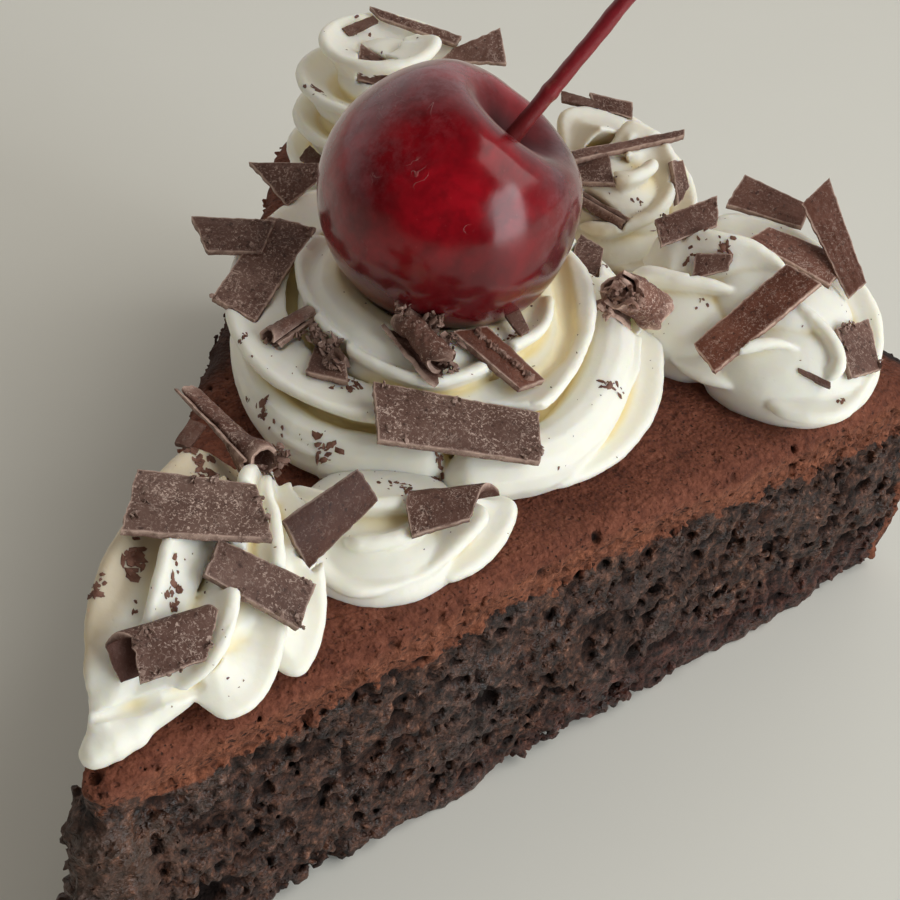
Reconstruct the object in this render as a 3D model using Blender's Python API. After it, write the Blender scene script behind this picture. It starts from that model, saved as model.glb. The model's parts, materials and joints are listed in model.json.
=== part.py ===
"""Slice of black forest cake: a wedge of one-layer chocolate sponge, six pipings of whipped cream, a cherry on its
stem and scraped chocolate. One object for each separate piece. Metres, +Z up; the origin is under the middle of
the slice on the surface it stands on, +X runs from the tip to the rim along the middle of the slice."""

import math

import bmesh
import bpy
import numpy as np
from mathutils import Vector

for old in list(bpy.data.objects):
    bpy.data.objects.remove(old, do_unlink=True)

# ---- sizes of the slice, in millimetres; the tip of the slice is the working origin and +X its middle line
CAKE_R = 112.0                      # radius of the whole cake
APEX = math.radians(45.4)           # angle of the slice, an eighth of the cake
H_TIP, H_MID, H_RIM = 29.9, 31.0, 27.2   # height of the sponge at tip, half way and rim
SHIFT_X = 57.27                     # the object's origin lies this far from the tip, half way along
MM = 0.001


def top_z(x, y):
    """Height of the domed top of the sponge above a point."""
    s = np.clip(np.hypot(x, y) / CAKE_R, 0, 1)
    return H_TIP * (1 - s) * (1 - 2 * s) + H_MID * 4 * s * (1 - s) + H_RIM * s * (2 * s - 1)


def smooth_path(keys, step):
    """Catmull-Rom curve through rows of numbers, read about every `step` millimetres."""
    k = np.array(keys, float)
    k = np.vstack([2 * k[0] - k[1], k, 2 * k[-1] - k[-2]])
    rows = []
    for i in range(1, len(k) - 2):
        a, b, c, d = k[i - 1], k[i], k[i + 1], k[i + 2]
        n = max(2, int(math.ceil(np.linalg.norm(c[:3] - b[:3]) / step)))
        for j in range(n):
            t = j / n
            rows.append(0.5 * (2 * b + (c - a) * t + (2 * a - 5 * b + 4 * c - d) * t * t + (3 * b - a - 3 * c + d) * t ** 3))
    rows.append(k[-2])
    return np.array(rows)


def ridge_section(half, depth, tip):
    """Closed outline of one piped ridge: a narrow rounded crest at (0, 0) with hollow flanks that spread inwards."""
    side = []
    tip = tip * 0.62
    for a in (0, 30, 60, 88):
        side.append((tip * math.sin(math.radians(a)), -tip * (1 - math.cos(math.radians(a)))))
    for f in (0.25, 0.5, 0.75, 1.0):
        side.append((tip + (half - tip) * f ** 1.45, -tip - (depth - tip) * f))
    left = [(-s, t) for s, t in side[1:]]
    return np.array(left[::-1] + side)


def round_section(half, depth, tip):
    """Closed outline of a smooth roll, wide and rounded."""
    return np.array([(half * math.sin(a), -depth / 2 + depth / 2 * math.cos(a)) for a in np.linspace(-math.pi, math.pi, 15)[1:]])


def sweep(path, aim, section, half, depth, tip, step, ease=(3.5, 3.5)):
    """Body swept along path. aim gives the crest's outward direction at each row of the path. The ends ease in."""
    rows = smooth_path(path, step)
    p = rows[:, :3]
    scale = rows[:, 3] if rows.shape[1] > 3 else np.ones(len(p))
    run = np.concatenate([[0], np.cumsum(np.linalg.norm(np.diff(p, axis=0), axis=1))])
    total = run[-1]
    tangent = np.gradient(p, axis=0)
    tangent /= np.linalg.norm(tangent, axis=1)[:, None]
    out = np.array([aim(q) for q in p])
    out -= (out * tangent).sum(1)[:, None] * tangent
    out /= np.linalg.norm(out, axis=1)[:, None]
    side = np.cross(tangent, out)
    base = section(half, depth, tip)
    rings = []
    for i in range(len(p)):
        e0 = min(1, run[i] / ease[0]) if ease[0] else 1
        e1 = min(1, (total - run[i]) / ease[1]) if ease[1] else 1
        e = math.sin(min(e0, e1) * math.pi / 2)
        e = max(e, 0.12)
        ring = base * scale[i] * (0.25 + 0.75 * e)
        centre = p[i] - out[i] * depth * scale[i] * 0.75 * (1 - e)
        rings.append(centre + ring[:, :1] * side[i] + ring[:, 1:] * out[i])
    n = len(base)
    verts = np.vstack(rings + [rings[0].mean(0)[None], rings[-1].mean(0)[None]])
    faces = []
    for i in range(len(rings) - 1):
        for j in range(n):
            a, b = i * n + j, i * n + (j + 1) % n
            faces.append((a, b, b + n, a + n))
    last = (len(rings) - 1) * n
    for j in range(n):
        faces.append(((j + 1) % n, j, len(verts) - 2))
        faces.append((last + j, last + (j + 1) % n, len(verts) - 1))
    return verts, faces


def blob(centre, radii, rows=10, cols=20):
    """Ellipsoid."""
    verts = [(0, 0, -1)]
    for i in range(1, rows):
        a = -math.pi / 2 + math.pi * i / rows
        verts += [(math.cos(a) * math.cos(2 * math.pi * j / cols), math.cos(a) * math.sin(2 * math.pi * j / cols), math.sin(a)) for j in range(cols)]
    verts.append((0, 0, 1))
    faces = [(0, 1 + (j + 1) % cols, 1 + j) for j in range(cols)]
    for i in range(rows - 2):
        for j in range(cols):
            a, b = 1 + i * cols + j, 1 + i * cols + (j + 1) % cols
            faces.append((a, b, b + cols, a + cols))
    top = 1 + (rows - 2) * cols
    faces += [(top + j, top + (j + 1) % cols, len(verts) - 1) for j in range(cols)]
    return np.array(verts) * np.array(radii) + np.array(centre), faces


def polar(centre, keys):
    """Path from rows of angle in degrees, radius and height about a centre."""
    return [(centre[0] + r * math.cos(math.radians(a)), centre[1] + r * math.sin(math.radians(a)), z) + tuple(rest) for a, r, z, *rest in keys]


def from_point(c):
    return lambda q: np.array(q) - np.array(c)


def from_line(keys):
    """Aim away from the nearest point of a line."""
    line = smooth_path(keys, 1.0)[:, :3]
    return lambda q: q - line[np.argmin(((line - q) ** 2).sum(1))]


def from_axis(centre, lift):
    """Aim outwards from a vertical axis, raised by lift degrees."""
    def aim(q):
        d = np.array([q[0] - centre[0], q[1] - centre[1]])
        d /= np.linalg.norm(d)
        return np.array([d[0] * math.cos(math.radians(lift)), d[1] * math.cos(math.radians(lift)), math.sin(math.radians(lift))])
    return aim


# ---- the piped cream: each piping is a few rounded cores and the ridges that the star nozzle left on them
ROSE = (69.5, 3.5)                  # centre of the big rosette
RIGHT = (90.0, -26.5)               # rosette at the right corner of the rim
MIDDLE = (99.0, -1.0)               # rosette in the middle of the rim
LEFT = (97.0, 26.6)                 # rosette at the left corner of the rim
SPINE = [(3.8, 1.0, 31.5), (8.5, 1.2, 34.5), (15.0, 0.8, 35.5), (23.0, 0.8, 36.0), (31.0, 2.6, 36.0), (37.0, 4.0, 35.5)]


def cream_front(step):
    """Shell at the tip: ridges that fan out from the big end and run together in a tail like a folded ribbon."""
    aim = from_line(SPINE)
    core = [(3.8, 1.0, 32.3, .20), (8.5, 0.6, 34.3, .42), (13.0, 0.4, 37.6, .72), (18.0, 0.8, 39.2, .9), (23.0, 0.8, 39.4, 1), (31.0, 2.6, 39.4, 1), (37.0, 4.0, 38.9, .9)]
    parts = [sweep(core, lambda q: np.array([0, 0, 1.0]), round_section, 6.4, 10.4, 0, step, (2, 5))]
    parts += [blob((4.7, 1.3, 31.5), (1.7, 1.6, 1.7)), blob((6.2, 0.4, 31.8), (1.9, 1.7, 1.8)), blob((7.8, -0.5, 32.0), (1.6, 1.5, 1.5))]
    ridges = [
        # the broad left petal, which leans out over the cut
        ([(4.6, 3.4, 33.5, .5), (7.6, 5.4, 37.2, .8), (14.2, 7.6, 41.0, 1), (20.6, 8.7, 42.4, 1.05), (27.7, 9.6, 42.6, 1.05), (35.0, 9.0, 41.5, 1)], 3.4, 5.8, 0.9, (5, 5)),
        # the ridge beside it, which ends as the upper lip of the tail
        ([(29.0, 6.0, 44.8, .9), (20.6, 4.4, 44.2, .95), (14.8, 2.3, 42.2, .9), (11.8, 1.9, 39.4, .8), (9.2, 2.9, 37.4, .7), (7.0, 3.7, 36.0, .62), (5.3, 3.5, 34.8, .56), (4.3, 2.6, 33.4, .5), (3.9, 1.3, 32.0, .42)], 2.4, 4.4, 0.75, (5, 1.5)),
        # right of the deep valley, running down to the lower lip of the tail
        ([(33.0, 4.2, 44.5, .9), (27.0, 1.6, 44.0, 1), (20.8, -2.0, 42.4, 1), (16.4, -4.3, 40.4, .95), (13.4, -4.6, 38.2, .8), (11.2, -3.3, 36.0, .66), (9.4, -2.0, 34.2, .56), (7.9, -1.2, 32.9, .5)], 2.8, 4.6, 0.75, (5, 2.0)),
        # the lobe that turns in along the sponge
        ([(34.0, 2.6, 43.4, .9), (30.3, 1.0, 43.2, 1), (27.9, -1.4, 42.2, 1), (24.8, -3.9, 40.6, 1.05), (21.6, -6.5, 37.2, 1.05), (18.2, -7.6, 34.2, 1), (14.9, -7.4, 33.0, .9), (11.2, -4.8, 32.4, .75)], 2.7, 4.8, 0.75, (5, 3)),
        # the last lobe on the right
        ([(34.5, -0.6, 41.6, .8), (31.0, -3.8, 39.0, .95), (27.7, -6.9, 35.6, 1), (24.6, -8.4, 33.4, 1), (21.4, -8.7, 32.5, .9), (18.8, -7.6, 32.2, .7)], 2.6, 4.6, 0.8, (5, 3)),
        # the two ridges on the far side
        ([(4.4, 3.0, 31.8, .5), (9.0, 5.2, 34.0, .8), (16.0, 8.2, 36.2, 1), (24.0, 10.0, 37.2, 1), (32.0, 10.4, 37.2, 1), (37.0, 9.8, 36.5, .9)], 2.8, 4.8, 0.8, (3, 5)),
        ([(8.0, 3.6, 31.6, .6), (15.0, 6.9, 32.4, .9), (24.0, 9.2, 32.8, 1), (33.0, 9.8, 32.8, 1)], 2.4, 4.2, 0.8, (3, 5)),
    ]
    for path, half, depth, tip, ease in ridges:
        parts.append(sweep(path, aim, ridge_section, half, depth, tip, step, ease))
    return parts


def cream_side(step):
    """Small dollop between the shell and the big rosette: a shallow bowl of cream inside its own turned-up rims."""
    aim = from_point((41.5, -4.5, 30.5))
    parts = [blob((41.2, -5.2, 31.6), (9.4, 8.4, 4.4))]
    for path, half, depth, tip, ease in [
        # the lip that hangs over the cut side and rises to the right
        ([(34.6, 3.0, 35.4, .8), (32.4, -1.4, 34.4, .95), (31.5, -5.0, 33.4, 1), (31.7, -8.0, 33.1, 1), (34.2, -10.5, 33.1, 1), (37.6, -12.5, 33.4, 1), (41.6, -13.8, 34.7, 1), (45.0, -14.4, 35.9, 1), (47.8, -13.2, 36.5, .9)], 2.8, 5.0, 0.8, (4, 4)),
        # the lobe behind it
        ([(37.4, -12.0, 31.6, .7), (40.2, -14.5, 32.1, .95), (43.2, -15.7, 32.5, 1), (47.0, -15.8, 32.8, 1), (50.4, -14.8, 33.3, 1), (52.2, -12.2, 34.0, .9)], 2.6, 4.4, 0.9, (3, 4)),
        # the inner step and the top ring
        ([(34.2, -3.4, 35.6, .7), (34.9, -6.4, 35.9, .95), (37.0, -8.9, 36.1, 1), (39.8, -10.4, 36.3, 1), (43.2, -10.9, 36.5, .9)], 2.4, 4.2, 1.1, (3, 4)),
        ([(34.8, 4.2, 36.6, .8), (36.1, 1.6, 37.5, .95), (37.1, -1.9, 37.7, 1), (39.2, -5.9, 37.6, 1), (42.9, -9.7, 37.4, 1), (46.4, -11.6, 37.0, .85)], 2.0, 4.2, 0.8, (4, 4)),
    ]:
        parts.append(sweep(path, aim, ridge_section, half, depth, tip, step, ease))
    return parts


def cream_rose(step):
    """The big rosette under the cherry: one piping wound inwards and up, so its ridges climb in tiers."""
    c = ROSE
    parts = [
        blob((c[0] - 1.2, c[1] + 0.4, 31.0), (22.6, 21.6, 5.6)),
        blob((c[0] - 0.8, c[1] + 0.8, 34.5), (20.6, 19.2, 5.0)),
        blob((c[0], c[1], 37.0), (16.0, 15.6, 5.0)),
    ]
    # the smooth last turn, in which the cherry sits
    ring = polar((69.0, 4.0), [(60, 9.6, 41.0, .8), (95, 10.2, 40.6, .95), (135, 11.2, 41.2, 1.1), (175, 12.0, 41.2, 1.22), (205, 12.2, 41.2, 1.22), (228, 11.0, 41.2, 1.05), (250, 10.2, 41.0, .9), (285, 10.0, 41.2, .9), (330, 10.0, 41.2, .85), (370, 9.8, 41.2, .85)])
    parts.append(sweep([(x, y, z + 1.6, s) for x, y, z, s in ring], lambda q: np.array([0, 0, 1.0]), round_section, 3.7, 8.4, 0, step, (4, 4)))
    # the smooth bands between one lip and the next
    for keys, half, depth in [
        ([(205, 21.6, 36.6, .7), (218, 22.0, 37.4, .9), (233, 21.8, 38.1, 1), (246, 20.7, 38.8, 1), (262, 18.9, 39.4, 1), (280, 17.4, 40.0, 1), (302, 16.3, 40.5, 1), (335, 15.3, 40.9, 1), (370, 15.3, 40.7, 1), (410, 15.6, 40.2, .9)], 3.2, 7.0),
        ([(120, 21.4, 36.6, .8), (145, 22.6, 37.0, 1), (165, 23.4, 37.1, 1), (180, 23.2, 37.2, 1), (195, 22.0, 37.3, 1), (212, 20.6, 37.5, .8)], 2.5, 6.0),
    ]:
        parts.append(sweep(polar(c, keys), lambda q: np.array([0, 0, 1.0]), round_section, half, depth, 0, step, (4, 4)))
    for keys, half, depth, tip, lift, ease in [
        # lowest ridge, the white outer edge on the right
        ([(214, 20.5, 32.0, .7), (226, 23.6, 32.8, .9), (243, 24.9, 33.4, 1), (264, 24.3, 33.6, 1), (286, 23.4, 33.8, 1), (310, 22.8, 34.2, 1), (345, 22.0, 34.4, 1), (380, 21.8, 34.6, 1), (420, 21.6, 34.4, .9)], 3.2, 5.4, 0.9, 12, (4, 5)),
        # second ridge: under the tiers at the left, then the edge of the wide band
        ([(186, 17.5, 32.6, .7), (198, 20.8, 33.0, .95), (210, 22.8, 33.6, 1), (225, 24.1, 34.8, 1), (243, 23.6, 36.4, 1), (262, 22.0, 37.2, 1), (282, 20.8, 37.6, 1), (306, 19.8, 38.2, 1), (340, 18.6, 38.6, 1), (380, 18.2, 38.8, 1), (420, 18.4, 38.6, 1), (455, 19.5, 37.8, .9)], 3.3, 5.2, 0.8, 30, (5, 5)),
        # third: the full petal at the left, which runs out under the front
        ([(60, 20.5, 34.4, .9), (90, 20.8, 34.6, 1), (120, 22.3, 35.0, 1), (149, 24.2, 35.2, 1), (162, 25.6, 35.2, 1), (174, 26.0, 35.2, 1), (186, 24.9, 35.3, 1), (198, 21.8, 35.8, .9), (212, 18.5, 36.4, .8)], 3.3, 5.4, 0.9, 18, (5, 7)),
        # lowest at the far left
        ([(75, 22.5, 32.0, .9), (110, 22.8, 32.0, 1), (150, 22.6, 32.0, .9)], 2.8, 4.8, 0.9, 8, (4, 4)),
        # the long middle ridge, from the back round the left and front and up on the right
        ([(30, 19.0, 39.6, .9), (60, 20.4, 40.2, 1), (84, 21.0, 40.4, 1), (110, 21.9, 40.0, 1), (137, 23.1, 39.5, 1), (158, 23.5, 39.2, 1), (177, 22.9, 39.1, 1), (192, 21.9, 39.2, 1), (213, 21.2, 39.6, 1), (233, 20.5, 40.0, 1), (246, 18.9, 40.5, 1), (262, 17.0, 41.2, 1), (280, 15.4, 42.2, 1), (302, 14.0, 42.8, .95), (335, 12.6, 43.2, .85)], 3.1, 5.0, 0.75, 30, (5, 5)),
        # the inner ridge round the cherry
        ([(84, 14.5, 41.6, .8), (109, 15.6, 41.8, .95), (135, 15.6, 41.8, 1), (165, 16.4, 41.6, 1), (188, 17.4, 41.6, 1), (204, 17.8, 41.8, 1), (219, 16.2, 42.3, 1), (234, 14.2, 42.8, 1), (248, 13.6, 43.0, .95), (258, 12.9, 43.2, .9), (270, 11.6, 43.4, .8), (284, 10.8, 43.4, .7)], 2.3, 4.2, 0.7, 45, (5, 3)),
    ]:
        parts.append(sweep(polar(c, keys), from_axis(c, lift), ridge_section, half, depth, tip, step, ease))
    return parts


def cream_right(step):
    """Rosette at the right corner: two ridges lead in from the middle and the outer one curls round."""
    c = RIGHT
    parts = [
        blob((c[0], c[1] - 1.0, 32.5), (9.8, 10.4, 6.4)),
        blob((c[0] - 1.0, c[1] + 9.0, 33.0), (8.0, 8.0, 6.0)),
        blob((c[0] + 1.5, c[1] + 2.0, 36.5), (6.5, 9.5, 4.6)),
    ]
    aim = from_line([(88.5, -13.0, 34.0), (89.5, -20.0, 34.5), (90.0, -28.0, 33.5)])
    for path, half, depth, tip, ease in [
        ([(86.0, -11.5, 33.5, .8), (82.8, -15.0, 33.2, .95), (80.6, -19.0, 33.0, 1), (80.0, -23.0, 33.0, 1), (80.8, -27.0, 33.0, .95), (82.5, -30.5, 33.4, .8)], 3.0, 5.0, 0.9, (4, 4)),
        ([(81.5, -26.5, 32.8, .8), (79.9, -30.5, 32.8, .95), (80.3, -34.0, 32.9, 1), (82.6, -36.6, 33.0, 1), (86.2, -37.6, 33.6, 1), (90.4, -37.6, 34.8, 1), (94.4, -36.2, 36.4, 1), (97.4, -33.2, 38.2, 1), (99.0, -28.5, 40.0, 1), (99.2, -23.0, 41.2, 1), (98.0, -17.0, 41.4, .95), (95.0, -12.5, 40.4, .9)], 3.2, 5.4, 0.85, (4, 5)),
        ([(90.5, -9.0, 39.6, .8), (91.6, -12.5, 41.6, .95), (91.4, -17.5, 42.8, 1), (92.2, -21.0, 42.8, 1), (92.0, -25.0, 41.6, .95), (89.8, -28.2, 40.0, .85)], 2.9, 4.8, 0.8, (4, 4)),
        ([(84.5, -9.0, 38.0, .8), (85.2, -12.5, 39.6, .95), (85.6, -16.0, 40.1, 1), (86.8, -19.6, 40.1, 1), (87.6, -23.0, 39.4, .95), (86.0, -26.0, 38.2, .8)], 2.8, 4.6, 0.8, (4, 4)),
        # the curl at the front and the ring round it
        ([(79.6, -22.6, 36.6, .8), (81.4, -25.6, 37.8, .95), (83.4, -28.2, 38.2, 1), (84.6, -30.6, 37.4, .9), (84.0, -32.4, 36.2, .75)], 2.2, 3.8, 0.7, (3, 2.5)),
        ([(89.0, -25.5, 40.6, .8), (88.2, -29.0, 40.2, .95), (87.4, -32.4, 39.0, 1), (85.6, -34.8, 37.4, .95), (82.6, -35.2, 35.8, .8)], 2.5, 4.4, 0.75, (3, 3)),
        # the side towards the rim
        ([(100.5, -34.0, 33.0, .9), (103.2, -29.0, 34.0, 1), (103.8, -22.0, 35.0, 1), (101.5, -15.0, 35.0, 1), (96.5, -10.0, 34.6, .9)], 3.0, 5.0, 0.85, (4, 5)),
    ]:
        parts.append(sweep(path, aim, ridge_section, half, depth, tip, step, ease))
    return parts


def cream_middle(step):
    """Rosette in the middle of the rim, a coil with its end lying on top."""
    c = MIDDLE
    parts = [blob((c[0], c[1], 32.0), (8.6, 9.4, 7.6)), blob((c[0], c[1] - 0.5, 37.0), (6.2, 7.4, 5.0))]
    for keys, half, depth, tip, lift, ease in [
        ([(200, 9.8, 33.5, .8), (235, 10.4, 34.0, 1), (275, 10.6, 35.2, 1), (315, 10.8, 37.6, 1), (350, 10.2, 40.2, 1), (380, 9.8, 42.2, 1), (415, 9.2, 42.8, .95), (450, 8.4, 42.0, .9)], 3.0, 5.0, 0.85, 22, (4, 5)),
        ([(170, 8.0, 37.6, .8), (210, 8.4, 38.6, .95), (250, 8.2, 39.8, 1), (290, 7.8, 41.4, 1), (325, 7.0, 43.0, 1), (360, 5.6, 44.0, .95), (400, 4.2, 44.0, .8)], 2.8, 4.8, 0.8, 38, (4, 4)),
        ([(180, 3.8, 42.6, .8), (230, 5.0, 43.0, .95), (275, 5.2, 43.2, .9), (310, 4.4, 43.2, .8)], 2.4, 4.2, 0.8, 55, (3, 3)),
        ([(330, 10.6, 33.5, .9), (370, 10.8, 36.0, 1), (410, 10.4, 37.6, 1), (450, 9.8, 38.0, 1), (490, 9.4, 36.0, .9)], 3.0, 5.0, 0.85, 12, (4, 4)),
        ([(350, 10.2, 31.5, .9), (400, 10.4, 32.5, 1), (450, 9.8, 33.0, 1), (500, 9.2, 33.0, .9)], 2.8, 4.6, 0.85, 8, (4, 4)),
    ]:
        parts.append(sweep(polar(c, keys), from_axis(c, lift), ridge_section, half, depth, tip, step, ease))
    return parts


def cream_left(step):
    """Rosette at the left corner: one sharp ridge that winds up round it, so its lip stands out like teeth."""
    c = LEFT
    parts = [blob((c[0], c[1], 32.5), (8.4, 8.4, 6.4)), blob((c[0], c[1], 38.5), (7.6, 7.6, 6.0)), blob((c[0], c[1], 43.0), (5.8, 5.8, 4.4))]
    keys = []
    for i in range(0, 50):
        turns = i / 12 - 0.55
        r = 10.6 - 0.10 * max(turns, 0) - 2.6 * max(turns - 1.9, 0) ** 1.25 + 0.45 * math.sin(5.1 * turns)
        z = 33.6 + 4.65 * turns - 0.25 * max(turns - 2.3, 0) ** 2
        keys.append((121 + 360 * turns, max(r, 2.6), z, 0.9 if turns < 2.6 else 0.8))
    parts.append(sweep(polar(c, keys), from_axis(c, 38), ridge_section, 2.1, 4.6, 0.45, step, (3, 3)))
    parts.append(sweep(polar(c, [(40, 10.2, 31.0, .8), (90, 10.6, 31.2, 1), (150, 10.6, 31.2, 1), (210, 10.4, 31.2, 1), (260, 10.2, 31.2, .8)]), from_axis(c, 20), ridge_section, 2.2, 4.4, 0.5, step, (3, 3)))
    return parts


PIPINGS = {
    "cream_shell_front": cream_front,
    "cream_dollop_side": cream_side,
    "cream_rosette_centre": cream_rose,
    "cream_rosette_right": cream_right,
    "cream_rosette_middle": cream_middle,
    "cream_rosette_left": cream_left,
}


# ---- the cherry
CHERRY_AT = (69.1, 4.3, 51.3)
CHERRY_R = 13.0
CHERRY_AXIS = (0.400, -0.412, 0.818)     # from the blossom end to the stem
STEM_R = 0.80
STEM_LENGTH = 42.0
STEM_OFF = (0.015, -0.796, -0.358)            # how far from the middle of the cavity the stem stands


def basis(axis, towards=(-0.70, -0.30, 0.65)):
    """Right-handed axes with Z along axis and X as near as can be to a direction."""
    z = np.array(axis, float)
    z /= np.linalg.norm(z)
    x = np.array(towards, float)
    x -= (x @ z) * z
    x /= np.linalg.norm(x)
    return np.stack([x, np.cross(z, x), z], 1)


def cherry_radius(lat, lon):
    """Distance of the skin from the centre: broad shoulders round a deep stem cavity, a shallow seam down one side, a small blossom scar."""
    s = np.sin(lat)
    r = 1.0 + 0.035 * np.cos(lat) ** 2 - 0.030 * np.cos(lat) ** 2 * s
    r = r + 0.050 * np.exp(-((lat - math.radians(52)) / 0.34) ** 2)
    r = r - 0.46 * np.exp(-((math.pi / 2 - lat) / 0.45) ** 2)
    r = r - 0.025 * np.cos(lon) * np.exp(-((lat - math.radians(56)) / 0.30) ** 2)
    r = r - 0.050 * np.exp(-((math.pi / 2 + lat) / 0.16) ** 2)
    seam = np.exp(-((np.angle(np.exp(1j * (lon - math.radians(200))))) / 0.22) ** 2)
    r = r - 0.018 * seam * np.cos(lat)
    r = r + 0.022 * np.cos(2 * (lon - 0.6)) * np.cos(lat) ** 2
    return r


def cherry_mesh(rows, cols, grow=0.0):
    """Closed skin of the cherry, grown outwards by some millimetres for a cutter."""
    m = basis(CHERRY_AXIS)
    verts, faces = [], []
    lats = [-math.pi / 2 + math.pi * i / rows for i in range(1, rows)]
    for lat in [-math.pi / 2] + lats + [math.pi / 2]:
        n = 1 if abs(abs(lat) - math.pi / 2) < 1e-9 else cols
        for j in range(n):
            lon = 2 * math.pi * j / cols
            r = CHERRY_R * float(cherry_radius(lat, lon)) + grow
            verts.append(m @ np.array([r * math.cos(lat) * math.cos(lon), r * math.cos(lat) * math.sin(lon), r * math.sin(lat)]) + CHERRY_AT)
    last = len(verts) - 1
    for j in range(cols):
        faces.append((0, 1 + (j + 1) % cols, 1 + j))
        faces.append((last - cols + j, last - cols + (j + 1) % cols, last))
    for i in range(rows - 2):
        for j in range(cols):
            a, b = 1 + i * cols + j, 1 + i * cols + (j + 1) % cols
            faces.append((a, b, b + cols, a + cols))
    return np.array(verts), faces


def stem_line(step):
    """Middle line of the stem, from the bottom of the cavity out to its cut end, with a slight bend."""
    z = np.array(CHERRY_AXIS) / np.linalg.norm(CHERRY_AXIS)
    start = np.array(CHERRY_AT) + z * (CHERRY_R * float(cherry_radius(math.pi / 2, 0)) + 0.35) + np.array(STEM_OFF)
    lean = np.array([0.405, -0.390, 0.827])
    bend = np.array([0.82, 0.45, -0.35])
    n = int(STEM_LENGTH / step)
    rows = []
    for i in range(n + 1):
        t = i / n
        rows.append(start + lean * STEM_LENGTH * t + bend * 2.6 * max(0.0, t - 0.25) ** 2)
    return np.array(rows)


def stem_radius(t):
    """Thicker where it joins the cherry and at the end that left the tree."""
    return STEM_R * (1 + 0.30 * math.exp(-t * 22) + 0.12 * t + 0.90 * math.exp(-((1 - t) / 0.035) ** 2))


def tube(line, radius, sides):
    """Closed tube along a line with a radius for each fraction of its length."""
    tangent = np.gradient(line, axis=0)
    tangent /= np.linalg.norm(tangent, axis=1)[:, None]
    x = np.cross(tangent[0], [0.3, 0.9, 0.1])
    verts, faces = [], []
    for i, (p, t) in enumerate(zip(line, tangent)):
        x = x - (x @ t) * t
        x /= np.linalg.norm(x)
        y = np.cross(t, x)
        r = radius(i / (len(line) - 1))
        verts += [p + r * (x * math.cos(2 * math.pi * j / sides) + y * math.sin(2 * math.pi * j / sides)) for j in range(sides)]
    verts += [line[0], line[-1]]
    last = (len(line) - 1) * sides
    for i in range(len(line) - 1):
        for j in range(sides):
            a, b = i * sides + j, i * sides + (j + 1) % sides
            faces.append((a, b, b + sides, a + sides))
    for j in range(sides):
        faces.append(((j + 1) % sides, j, len(verts) - 2))
        faces.append((last + j, last + (j + 1) % sides, len(verts) - 1))
    return np.array(verts), faces


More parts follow.
